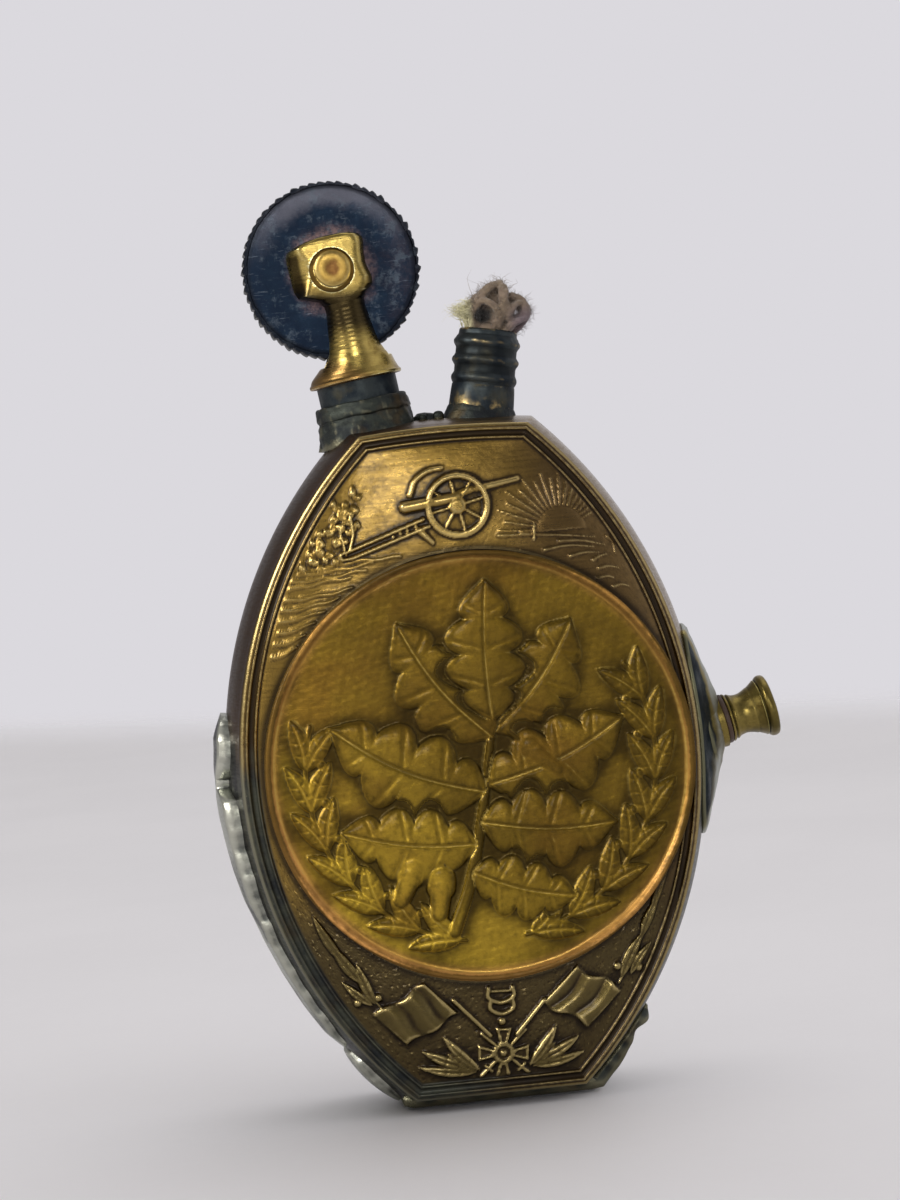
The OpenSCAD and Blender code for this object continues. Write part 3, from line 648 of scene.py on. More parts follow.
def oak_and_laurel(x, z):
    """A struck picture for a medal: a broad oak spray with acorns between two laurel boughs."""
    relief = Relief(x, z)
    bough = 14.4
    for side, end, leaves in ((-1, 18, 7), (1, 30, 8)):
        relief.stroke(arc(0, 0, bough, -80, end, 40) * (side, 1), 0.42, 0.3)
        for count in range(leaves):
            angle = -78 + 13.6 * count
            root = bearing(0, 0, bough, angle) * (side, 1)
            for radius, lead, width, bend in ((16.1, 15, 1.7, 0.05), (12.3, 17, 1.8, -0.05)):
                relief.leaf(root, bearing(0, 0, radius, angle + lead) * (side, 1), width, 0.5, bend=bend * side)
            relief.disc(*(bearing(0, 0, 13.1, angle + 2) * (side, 1)), 0.38, 0.42)
    relief.stroke(curve([(-3.4, -13.4), (-1.6, -9.0), (-0.2, -3.5), (0.9, 2.0), (1.6, 7.0)]), 1.15, 0.8, 0.5)
    for base, tip, width, height, bend in (
            ((1.2, 2.6), (8.4, 11.4), 7.2, 0.62, -0.06), ((1.1, 2.2), (-6.0, 12.2), 7.4, 0.66, 0.06),
            ((1.2, 3.6), (1.6, 15.2), 7.0, 0.86, 0.03), ((0.4, -1.6), (12.0, 3.0), 7.2, 0.78, -0.06),
            ((0.2, -2.2), (-12.2, 4.2), 7.8, 0.8, 0.07), ((-0.9, -6.4), (-12.0, -4.4), 6.6, 0.7, 0.05),
            ((-0.5, -4.6), (10.8, -5.6), 7.0, 0.72, -0.05), ((-1.6, -8.6), (7.0, -11.4), 5.4, 0.6, -0.05)):
        relief.leaf(base, tip, width, height, lobes=4, bend=bend)
    for *acorn, turn in ((-6.6, -8.4, 245), (-4.2, -9.6, 262), (4.6, 0.6, 318)):
        back = turn + 180
        relief.strokes(([acorn, bearing(*acorn, 2.2, turn)], 2.0, 1.0, 1.5),
                       ([acorn, bearing(*acorn, 0.6, back)], 2.5, 0.85),
                       ([acorn, bearing(*acorn, 3.0, back)], 0.5, 0.5))
    return relief.height


# The case

class Outline:
    """The outline of the case seen from the front, drawn smaller by given insets."""

    BASE, SIDE_IN, CROWN_IN, BASE_IN = 0.6, 1.15, 0.75, 0.55
    BENDS = [[0, 1.6, 3.4, 5.2, 8], [0, 0.09, 0.36, 0.9, 1]]
    EDGE_SHARE = 0.93

    def __init__(self, case):
        width, height, self.crown_r = case.width / MM, case.height / MM, case.crown_radius / MM
        narrowing = width - case.top_width / MM
        self.waist_z = height / 2
        self.side_r = (height - self.waist_z) ** 2 / narrowing + narrowing / 4
        self.side_cx = self.side_r - width / 2
        self.crown_z = height - self.crown_r
        self.face_depth = case.face_depth / MM
        self.dome_r = (width / 2 - self.SIDE_IN) ** 2 / 1.4
        self.side_steps = np.concatenate([np.linspace(0, 0.34, 128, endpoint=False),
                                          np.linspace(0.34, 0.65, 42, endpoint=False), np.linspace(0.65, 1, 133)])
        self.flat_steps = np.linspace(0, 1, 92, endpoint=False)

    def lean(self, depth):
        """Share of the wall's lean that is reached at a depth from the seam."""
        depth = np.asarray(depth, float)
        near = [np.interp(depth + k, *self.BENDS) for k in np.linspace(-0.45, 0.45, 7)]
        return (np.mean(near, 0) - 0.003) / self.EDGE_SHARE

    def face(self, x):
        """Depth of the plain face at x."""
        return self.face_depth - x ** 2 / (2 * self.dome_r)

    def pillow(self, xz, edge):
        """How far a field inside the border has swelled out, from 0 along the border to 1."""
        x, z = np.abs(xz[:, 0]), xz[:, 1]
        gaps = (self.side_r - self.SIDE_IN - edge - np.hypot(x + self.side_cx, z - self.waist_z),
                self.crown_r - self.CROWN_IN - edge - np.hypot(x, z - self.crown_z),
                z - self.BASE - self.BASE_IN - edge)
        return np.prod([1 - np.exp(-np.maximum(gap, 0) / 2.6) for gap in gaps], 0)

    def ring(self, side, crown, base):
        """Points x, z once round the outline, anticlockwise from the lower left corner."""
        r, c, low = self.side_r - side, self.crown_r - crown, self.BASE + base
        rise = self.waist_z - self.crown_z
        gap = math.hypot(self.side_cx, rise)
        a = (c * c - r * r + gap * gap) / (2 * gap)
        h = math.sqrt(c * c - a * a)
        top_x = (h * rise - a * self.side_cx) / gap
        top_z = self.crown_z + (a * rise + h * self.side_cx) / gap
        low_x = math.sqrt(r * r - (low - self.waist_z) ** 2) - self.side_cx
        first = math.atan2(low - self.waist_z, low_x + self.side_cx)
        last = math.atan2(top_z - self.waist_z, top_x + self.side_cx)
        turn = first + (last - first) * self.side_steps
        arm = np.column_stack([r * np.cos(turn) - self.side_cx, self.waist_z + r * np.sin(turn)])
        sweep = math.asin(top_x / c) * (1 - 2 * self.flat_steps)
        top = np.column_stack([c * np.sin(sweep), self.crown_z + c * np.cos(sweep)])
        foot = np.column_stack([low_x * (2 * self.flat_steps - 1), low + 0 * self.flat_steps])
        return np.vstack([foot, arm[:-1], top, (arm * (-1, 1))[::-1][:-1]])

    def shrunk(self, share, more=0.0):
        """The ring at a share of the way in from the seam to the edge of the face, and more."""
        return self.ring(self.SIDE_IN * share + more, self.CROWN_IN * share + more, self.BASE_IN * share + more)

    def side_point(self, side, z, out):
        """Points on a curved side at the heights z, and out from the seam by out."""
        turn = np.arcsin((z - self.waist_z) / self.side_r)
        r = self.side_r + out
        return side * (r * np.cos(turn) - self.side_cx), self.waist_z + r * np.sin(turn)


MEDAL_CENTRE = np.array([0.6, 28.3])
WORN_TOP = 0.22
SEAT_DEPTH = 5.3
LINES = (0.35, 1.05)
LINE_WIDTH = 0.3


def shell_part(outline, case, medal_r):
    """The pressed front shell as one closed part, and what its finish reads at each point."""
    rows, wall, inset_from_edge, bold = [], [], [], []

    def add(xz, depth, down, inset, raised=0.0):
        whole = np.ones(len(xz))
        rows.append(np.column_stack([xz[:, 0], -depth * whole, xz[:, 1]]))
        for values, value in ((wall, down), (inset_from_edge, inset), (bold, raised)):
            values.append(value * whole)

    edge = LINES[-1] + LINE_WIDTH + 0.06
    border = outline.shrunk(1, edge)
    off = border - MEDAL_CENTRE
    reach = np.hypot(*off.T)
    start = np.minimum(medal_r - 0.15, reach - 0.3)
    aim = off / reach[:, None]
    seat = MEDAL_CENTRE + aim * start[:, None]
    add(seat, SEAT_DEPTH, 0, 9)
    count = 78
    for step in range(count):
        t = step / count
        xz = seat + aim * (0.06 + (reach - start - 0.06) * t)[:, None]
        rim = np.hypot(*(xz - MEDAL_CENTRE).T)
        left = reach - rim
        swell = case.pillow / MM * (0.5 + 0.5 * blend(xz[:, 1], 20, 36))
        depth = outline.face(xz[:, 0]) + swell * outline.pillow(xz, edge)
        scale = case.ornament / MM / ORNAMENT_HEIGHT * blend(left, 0, 0.25)
        height, raised = case_ornament(xz[:, 0], xz[:, 1])
        depth = np.minimum(depth + scale * height, outline.face_depth + 1.06)
        add(xz, np.where(rim < medal_r - 0.1, SEAT_DEPTH, depth), 0, left + edge, raised * scale)
    across = LINE_WIDTH * np.array([1, 0.9, 0.72, 0.5, 0.28, 0.1, 0])
    offsets = np.concatenate([line + across for line in LINES[::-1]])
    for inset in offsets:
        xz = outline.shrunk(1, inset)
        depth = outline.face(xz[:, 0]) - 0.05
        for line in LINES:
            share = (inset - line - LINE_WIDTH / 2) / (LINE_WIDTH / 2)
            depth = depth + case.line_height / MM * math.sqrt(max(0, 1 - share ** 2))
        rim = np.hypot(*(xz - MEDAL_CENTRE).T)
        add(xz, np.where(rim < medal_r - 0.1, SEAT_DEPTH, depth), 0, inset, 0.1)
    for inset, drop in ((0.3, 0.05), (0.2, 0.08), (0.1, 0.14)):
        xz = outline.shrunk(1, inset)
        add(xz, outline.face(xz[:, 0]) - drop, 0.15, inset)
    top = outline.face(outline.shrunk(1, 0.03)[:, 0]) - 0.22
    for step in np.linspace(0, 1, 12):
        depth = top * (1 - step) + 0.15 * step
        add(mixed_ring(outline, outline.lean(depth)), depth, 0.3 + 0.7 * step ** 0.5, 0)
    for depth, inset in ((0.06, 0.03), (0.02, 0.12), (0.02, 0.6)):
        add(outline.shrunk(0, inset), depth, 1, 0)
    for depth in (2.0, 3.4, outline.face_depth - 1.6):
        add(outline.shrunk(float(outline.lean(depth)), 0.6), depth, 1, 0)
    depth = -np.array(rows)[..., 1]
    face = count + 1 + len(offsets)
    # The shade layer: how far each point lies below its blurred surroundings. The finish paints it dark, partly as
    # patina in the hollows and partly as painted shade in the hollows and grooves.
    shade = np.zeros(depth.shape)
    lit = depth[1:face]
    shade[1:face] = blurred(lit, 5, True) - lit
    # A painted shadow: the field is painted darker in a narrow band round the foot of the medal, whose edge stands
    # proud of it.
    seat_shadow = np.exp(-np.maximum(np.hypot(*(np.array(rows)[..., [0, 2]] - MEDAL_CENTRE).T).T - medal_r, 0) / 0.5)
    shade = np.maximum(shade, 0.22 * seat_shadow * (np.array(wall) < 0.1))
    layers = {"wall": (wall, 0, 1), "inset": (inset_from_edge, 9, 0), "bold": (bold, 0, 0), "shade": (shade, 0, 0)}
    flat = {name: np.append(np.concatenate(list(values)), ends) for name, (values, *ends) in layers.items()}
    return skin(np.array(rows)), flat


def mixed_ring(outline, share):
    """A ring whose share of the way in from the seam differs from point to point."""
    near, far = outline.shrunk(0.0), outline.shrunk(1.1)
    return near + (far - near) * (share / 1.1)[:, None]


def opened(points, axis, radius, low, high):
    """Points of a front shell moved clear of a bore round an axis, between two heights along it."""
    local = (points - axis.origin) @ axis.turn
    near = (np.abs(local[:, 0]) < radius) & (local[:, 2] > low) & (local[:, 2] < high)
    clear = np.sqrt(np.clip(radius ** 2 - local[:, 0] ** 2, 0, None))
    moved = points.copy()
    moved[near, 1] = np.minimum(points[near, 1], -clear[near])
    return moved


def build_case(case, medal, colours):
    outline = Outline(case)
    (points, quads, tris), layers = shell_part(outline, case, medal.diameter / MM / 2)
    for axis, radius, low, high in ((STRIKER, 2.2, -4, 3), (WICK, 2.4, -4, 3), (FILLER, 1.8, -5, 3)):
        points = opened(points, axis, radius, low, high)
    add_both("shell", (points, quads, tris), layers, case_finish(colours), "case_brass")


# The medals

def medal_part(medal):
    """The front medal: a square grid pressed to a disc, then its edge and its back."""
    size, r, thick = 289, medal.diameter / MM / 2, medal.thickness / MM
    rim = medal.rim_width / MM
    line = np.linspace(-1, 1, size)
    u, v = np.meshgrid(line, line, indexing="ij")
    x, z = r * u * np.sqrt(1 - v ** 2 / 2), r * v * np.sqrt(1 - u ** 2 / 2)
    away = np.hypot(x, z)
    place = np.stack([x, z, 0 * x], -1)
    field = thick - 0.5 - 0.12 * blend(-away, -r, -5)
    ground = 0.035 * ripple(place, 5.1, 21) + 0.01 * ripple(place, 0.7, 22)
    picture = medal.relief / MM * oak_and_laurel(x, z)
    inside = 1 - blend(away, r - rim - 0.3, r - rim)
    depth = field + (picture + ground) * inside
    lip = thick - 0.16 - 0.03 * ripple(place, 2.5, 23) ** 2
    depth = depth + (lip - depth) * blend(away, r - rim - 0.1, r - 0.45 * rim)
    depth = depth - 0.26 * (1 - np.sqrt(1 - np.clip((away - r + 0.2) / 0.2, 0, 1) ** 2))
    over = np.maximum(depth - (thick - WORN_TOP), 0)
    depth = depth - over + WORN_TOP * (1 - np.exp(-over / WORN_TOP))
    # The shade layer: how far each point lies below its blurred surroundings, which the finish paints dark as patina
    # and as painted shade.
    shade = blurred(depth, 7) - depth
    index = np.arange(size * size).reshape(size, size)
    quads = np.stack([index[:-1, :-1], index[1:, :-1], index[1:, 1:], index[:-1, 1:]], -1).reshape(-1, 4)
    loop = np.concatenate([index[:-1, 0], index[-1, :-1], index[:0:-1, -1], index[0, :0:-1]])
    top = np.stack([x, -depth, z], -1).reshape(-1, 3)
    points, last, start = [top], loop, size * size
    for depth_now, inset in ((thick - 0.6, 0.0), (0.25, 0.0), (0.0, 0.15)):
        ring = top[loop] * (1, 0, 1) * ((r - inset) / r) - (0, depth_now, 0)
        new = start + np.arange(len(loop))
        quads = np.vstack([quads, np.stack([last, np.roll(last, -1), np.roll(new, -1), new], -1)])
        points.append(ring)
        last, start = new, start + len(loop)
    points.append(np.zeros((1, 3)))
    tris = np.stack([last, np.roll(last, -1), np.full(len(last), start)], -1)
    points = np.vstack(points)
    flat = np.zeros(len(points) - size * size)
    layers = {"rim": blend(np.hypot(points[:, 0], points[:, 2]), r - 1.5, r - 0.2),
              "shade": np.append(shade.ravel() * inside.ravel(), flat)}
    return (points + (MEDAL_CENTRE[0], -SEAT_DEPTH, MEDAL_CENTRE[1]), quads, tris), layers


def build_medals(medal, colours):
    add_both("medal", *medal_part(medal), medal_finish(colours), "medal_bronze")


# Strips, patch plate and solder

TAB_Z = 31.2


def strip_part(inner, outer, lean, front, back, follow=1.0, columns=20):
    """A bent strip: rings across it, one for each pair of inner and outer points."""
    inner, outer = np.array(inner, float), np.array(outer, float)
    inward = inner - outer
    inward /= np.maximum(np.linalg.norm(inward, axis=1), 1e-6)[:, None]
    share = np.sin(np.linspace(-math.pi / 2, math.pi / 2, columns))
    rows = []
    for p, q, n, y0, y1 in zip(inner, outer, inward, front, back):
        y = (y0 + y1) / 2 + (y1 - y0) / 2 * share
        fall = lean(np.abs(y)) * 1.15
        edge = 1 - np.abs(share) ** 40
        outside = p + (q - p) * edge[:, None] + n * fall[:, None] * follow
        inside = p + n * fall[:, None]
        rows.append(np.vstack([np.column_stack([outside[:, 0], y, outside[:, 1]]),
                               np.column_stack([inside[:, 0], y, inside[:, 1]])[::-1]]))
    return skin(np.array(rows))


def side_strip(outline, side, z, half, thick, ragged, seed):
    """A strip over the seam with the half width and the thickness given at each height."""
    inner = np.column_stack(outline.side_point(side, z, -0.02))
    outer = np.column_stack(outline.side_point(side, z, thick))
    front = -half + ragged * wander(z, 2.6, seed) + 0.4 * ragged * wander(z, 0.8, seed + 1)
    back = half + ragged * wander(z, 2.9, seed + 2)
    return strip_part(inner, outer, outline.lean, np.minimum(front, -0.1), np.maximum(back, 0.1))


def build_strips(case, strips, colours):
    outline = Outline(case)
    ragged, thick = strips.ragged / MM, strips.thickness / MM
    tab_low, tab_z, tab_r = 27.0, TAB_Z, 2.9
    z = np.concatenate([np.linspace(5.4, tab_low, 90), np.linspace(tab_low + 0.15, tab_z + tab_r, 60)])
    neck = np.where(z < tab_low, 3.75, 3.75 - 2.35 * blend(z, tab_low, tab_low + 1.1))
    disc = np.sqrt(np.clip(tab_r ** 2 - (z - tab_z) ** 2, 0.01, None))
    half = np.where(z > tab_z - 2.5, np.maximum(disc, np.where(z < tab_z, neck, 0)), neck)
    half = half * blend(z, 5.2, 5.9) ** 0.5
    stand = np.interp(z, [5.4, 7, 11, 15.9, 18.5, 22, 25.4, 32, tab_z + tab_r],
                      [0.1, 0.5, 0.55, 0.62, 0.85, 0.95, 1.08, 1.06, 0.5])
    stand = stand * (1 + 0.05 * wander(z, 3, 31)) * thick / STRIP_THICKNESS
    tin = tin_finish(colours)
    parts = [side_strip(outline, -1, z, half, np.minimum(stand, 1.09), ragged, 32)]
    add_piece("strip_seam", parts, tin, "tank", "seam_strip", sharp=40, rounds=4)
    z = np.linspace(0.7, 5.1, 40)
    half = 3.7 * np.sin(math.pi * (z - 0.2) / 5.4) ** 0.35
    body = thick * 0.9 * np.sin(math.pi * np.clip((z - 0.4) / 5.0, 0, 1)) ** 0.5 + 0.05
    parts = [side_strip(outline, -1, z, half, body, ragged, 41)]
    add_piece("strip_corner", parts, tin, "tank", "corner_strip", sharp=40, rounds=4)

    base_x = np.linspace(-8.0, 7.7, 50)
    lip_z = np.linspace(0.75, 6.5, 46)
    bump = 0.16 * wander(lip_z, 2.1, 51) - 0.5 * np.exp(-((lip_z - 4.7) / 0.6) ** 2)
    lip_out = (thick + bump) * blend(-lip_z, -6.6, -5.6) + 0.05
    foot = 0.25 * blend(-base_x, 7.2, 8.1)
    inner, outer = (
        np.vstack([np.column_stack([base_x, low]), np.column_stack(outline.side_point(1, lip_z, out))])
        for low, out in ((0.62 + 0 * base_x, -0.03), (foot, lip_out)))
    outer[:, 1] = np.maximum(outer[:, 1], 0.0)
    run = np.arange(len(inner)) * 0.3
    width = np.concatenate([4.4 + 0 * base_x, 4.3 - 0.7 * blend(lip_z, 0.6, 2.0) - 1.2 * blend(lip_z, 5.2, 6.7)])
    front = -width + 0.8 * ragged * wander(run, 2.3, 52)
    back = width + 0.8 * ragged * wander(run, 2.7, 53)
    parts = [strip_part(inner, outer, outline.lean, front, back, follow=0.35)]
    add_piece("strip_base", parts, solder_finish(colours, "solder base"), "tank", "base_strip", rounds=5)


def ragged_cone(profile, ragged, seed, columns=84):
    """A turned form whose surface wanders, such as a fillet of solder."""
    rows = turned(profile, columns)
    push = ragged * (0.6 * ripple(rows, 2.2, seed) + 0.4 * ripple(rows, 0.9, seed + 1))
    away = np.hypot(rows[..., 0], rows[..., 1])
    rows[..., :2] *= ((away + push) / away)[..., None]
    rows[..., 2] += 0.5 * ragged * ripple(rows, 1.7, seed + 2) * (rows[..., 2] > 0.2)
    return rows


def build_solder(case, strips, colours):
    ragged = strips.ragged / MM
    solder = solder_finish(colours, "solder")
    collar = curve([(4.3, -1.4), (4.02, -0.2), (3.9, 0.5), (3.84, 0.75), (3.96, 0.95), (3.92, 1.6), (3.84, 1.95),
                    (3.6, 2.02), (3.36, 1.9)], 5)
    bore = turned([(3.36, 1.2), (3.36, -1.0), (3.5, -1.6)], 84)
    rows = np.concatenate([ragged_cone(collar, 0.7 * ragged, 61), bore])
    parts = [STRIKER.solid(rows, hollow=True)]
    add_piece("solder_striker_tube", parts, solder, "tank", "flint_tube_solder")
    fillet = curve([(3.4, -1.3), (3.02, -0.1), (2.88, 0.2), (2.78, 0.5), (2.7, 0.68)], 5)
    bore = turned([(2.69, 0.4), (2.69, -1.0), (2.9, -1.5)], 84)
    rows = np.concatenate([ragged_cone(fillet, 0.5 * ragged, 71), bore])
    parts = [WICK.solid(rows, hollow=True)]
    add_piece("solder_wick_tube", parts, solder, "tank", "wick_tube_solder")
    low, high = (np.array(v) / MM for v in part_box("solder_bead"))
    middle = (low + high) / 2
    dome = curve([(1.35, -0.5), (1.42, 0.0), (1.1, 0.4), (0.6, 0.6), (0.2, 0.66)], 5)
    rows = ragged_cone(dome, ragged, 81, 60) + (middle[0], 0, case.height / MM - 0.12)
    lump = turned(curve([(0.42, -0.3), (0.46, 0.1), (0.3, 0.34), (0.05, 0.42)], 4), 30)
    parts = [skin(rows), skin(lump + (middle[0] + 0.75, -1.1, case.height / MM + 0.2)),
             skin(0.8 * lump + (middle[0] - 0.6, -1.2, case.height / MM + 0.15))]
    add_piece("solder_between_tubes", parts, solder, "tank", "solder_bead")
    build_plate(Outline(case), strips)


def build_plate(outline, strips):
    """The patch plate bent over the seam round the filler, drawn up to a boss round its neck."""
    thick, ragged = strips.plate / MM, strips.ragged / MM
    centre_z = FILLER.origin[2]
    angle = full_turn(120)
    corners = 3.2
    shape = (np.abs(np.cos(angle)) ** corners + np.abs(np.sin(angle)) ** corners) ** (-1 / corners)
    wavy = 1 + ragged / 9 * wander(np.cos(angle) * 8 + np.sin(angle) * 5, 3, 91)
    rows = []
    inner = [(share, -0.02) for share in (0.05, 0.5, 1.0)]
    outer = [(math.cos(math.radians(t)), math.sin(math.radians(t))) for t in range(6, 91, 4)]
    for share, out in inner + outer:
        y = 5.25 * shape * share * np.cos(angle) * wavy
        z = centre_z + 8.9 * shape * share * np.sin(angle) * wavy
        dome = 2.1 * np.clip(0.8 - share, 0, 0.5) ** 1.3
        lift = out if out < 0 else out ** 0.5 * thick * 0.84 + dome + 0.02
        place = np.column_stack([y, z, 0 * y])
        grain = 0.06 * ripple(place, 2.0, 92) * (out > 0.3)
        x, z2 = outline.side_point(1, z, lift + grain - outline.lean(np.abs(y)) * outline.SIDE_IN)
        rows.append(np.column_stack([x, y, z2]))
    bore = 1.98
    boss = curve([(bore, -2.0), (4.0, -0.2), (3.5, 0.5), (3.0, 0.9), (2.7, 1.15), (2.4, 1.28), (bore, 1.28)], 5)
    ring = np.concatenate([ragged_cone(boss, 0.4 * ragged, 93), turned([(bore, 0.5), (bore, -1.8)], 84)])
    parts = [skin(np.array(rows)), FILLER.solid(ring, hollow=True)]
    add_piece("plate_filler", parts, plate_finish(), "tank", "filler_plate", rounds=5)


# Geometry node trees

def new_tree(name, **inputs):
    """A geometry node tree with named inputs; returns the tree, its nodes and their sockets."""
    tree = bpy.data.node_groups.new(name, "GeometryNodeTree")
    for label, kind in {"Geometry": "Geometry", **inputs}.items():
        tree.interface.new_socket(name=label, in_out="INPUT", socket_type="NodeSocket" + kind)
    tree.interface.new_socket(name="Geometry", in_out="OUTPUT", socket_type="NodeSocketGeometry")
    nodes = Nodes(tree)
    return tree, nodes, nodes.add("NodeGroupInput").outputs


def spread_out(nodes, points, thing, turn, size, material):
    """Ends a tree: a thing on each point, as real geometry with its material."""
    shape = nodes.add("GeometryNodeObjectInfo", inputs={"Object": thing}).outputs["Geometry"]
    values = {"Instance": shape, "Rotation": turn, "Scale": size}
    many = nodes.first("GeometryNodeInstanceOnPoints", points, inputs=values)
    real = nodes.first("GeometryNodeRealizeInstances", many)
    nodes.add("NodeGroupOutput", nodes.first("GeometryNodeSetMaterial", real, inputs={"Material": material}))


def grown(tree, mesh, values):
    """The mesh that a tree makes of a mesh, with the tree's inputs set by name."""
    thing = temporary(mesh)
    modifier = thing.modifiers.new("grow", "NODES")
    modifier.node_group = tree
    for item in tree.interface.items_tree:
        if item.in_out == "INPUT" and item.name in values:
            modifier[item.identifier] = values[item.name]
    return settled(thing)


def teeth_tree():
    """Instances of one tooth round a rim, each worn a little differently."""
    tree, nodes, given = new_tree("Teeth round a rim", Teeth="Int", Radius="Float", Tooth="Object", Least="Float",
                                  Seed="Int", Finish="Material")
    rim = nodes.first("GeometryNodeMeshCircle", inputs={"Vertices": given["Teeth"], "Radius": given["Radius"]})
    index = nodes.first("GeometryNodeInputIndex")
    step = nodes.math("DIVIDE", 2 * math.pi, given["Teeth"])
    turn = nodes.first("ShaderNodeCombineXYZ", 0.0, 0.0, nodes.times(index, step))
    turn = nodes.first("FunctionNodeEulerToRotation", turn)
    worn = nodes.add("FunctionNodeRandomValue", data_type="FLOAT",
                     inputs={2: given["Least"], 3: 1.0, "Seed": given["Seed"]})
    size = nodes.first("ShaderNodeCombineXYZ", worn.outputs[1], 1.0, 1.0)
    spread_out(nodes, rim, given["Tooth"], turn, size, given["Finish"])
    return tree


def fibres_tree():
    """Fine fibres spread over a surface, leaning every way and of unlike lengths."""
    tree, nodes, given = new_tree("Fibres on a tuft", Density="Float", Length="Float", Fibre="Object", Tilt="Float",
                                  Seed="Int", Finish="Material")
    seed, tilt = given["Seed"], given["Tilt"]
    spots = nodes.add("GeometryNodeDistributePointsOnFaces", given["Geometry"],
                      inputs={"Density": given["Density"], "Seed": seed})
    back = nodes.times(tilt, -1.0)
    low, high = (nodes.first("ShaderNodeCombineXYZ", lean, lean, turn) for lean, turn in ((back, -3.14), (tilt, 3.14)))
    lean = nodes.first("FunctionNodeRandomValue", data_type="FLOAT_VECTOR", inputs={0: low, 1: high, "Seed": seed})
    lean = nodes.first("FunctionNodeEulerToRotation", lean)
    turn = nodes.first("FunctionNodeRotateRotation", spots.outputs["Rotation"], lean, rotation_space="LOCAL")
    size = nodes.add("FunctionNodeRandomValue", data_type="FLOAT",
                     inputs={2: nodes.times(given["Length"], 0.4), 3: given["Length"], "Seed": seed})
    spread_out(nodes, spots.outputs[0], given["Fibre"], turn, size.outputs[1], given["Finish"])
    return tree


# The striker

def wheel_parts(striker, finish):
    """The striking wheel: a turned disc with its teeth round the rim."""
    root = striker.wheel / MM / 2 - striker.tooth / MM
    half = striker.wheel_thickness / MM / 2
    face = [(1.06, half), (1.6, half), (1.7, half - 0.03), (root - 2.2, half - 0.06), (root - 1.7, half - 0.02),
            (root - 0.6, half), (root - 0.3, half - 0.05), (root - 0.05, half - 0.2)]
    profile = face + [(root, 0)] + [(r, -h) for r, h in face[::-1]]
    rows = turned(profile, 180)
    rows[..., 2] += 0.014 * ripple(rows, 2.5, 101) * (np.hypot(rows[..., 0], rows[..., 1]) > 1.8)
    pitch = 2 * math.pi * root / striker.teeth
    high, low, wide = striker.tooth / MM, -0.25, half - 0.03
    flank = [(low, -0.5 * pitch), (0.0, -0.5 * pitch), (0.55 * high, -0.4 * pitch), (high, -0.3 * pitch),
             (0.9 * high, -0.05 * pitch), (0.5 * high, 0.28 * pitch), (0.0, 0.5 * pitch), (low, 0.5 * pitch)]
    rings = []
    for side, inset in ((-wide, 0.14), (-wide + 0.2, 0.0), (wide - 0.2, 0.0), (wide, 0.14)):
        rings.append([(r - inset * (r > 0.05), t, side) for r, t in flank])
    tooth = temporary(mesh_of("tooth", [skin(np.array(rings))]))
    teeth = grown(teeth_tree(), bpy.data.meshes.new("rim"), {
        "Teeth": striker.teeth, "Radius": root * MM, "Tooth": tooth, "Least": 0.35, "Seed": striker.seed,
        "Finish": finish})
    bpy.data.objects.remove(tooth)
    points, quads, tris = part_of(teeth)
    parts = [skin(rows, hollow=True)]
    each, faces = len(points) // striker.teeth, len(tris) // striker.teeth
    for count in range(striker.teeth):
        own = tris[count * faces:(count + 1) * faces] - count * each
        parts.append((points[count * each:(count + 1) * each], quads, own))
    upright = [(p[:, [0, 2, 1]] * (1, 1, -1) + (0, 0, AXLE_HEIGHT), q, t) for p, q, t in parts]
    return [(STRIKER.out(p), q, t) for p, q, t in upright]


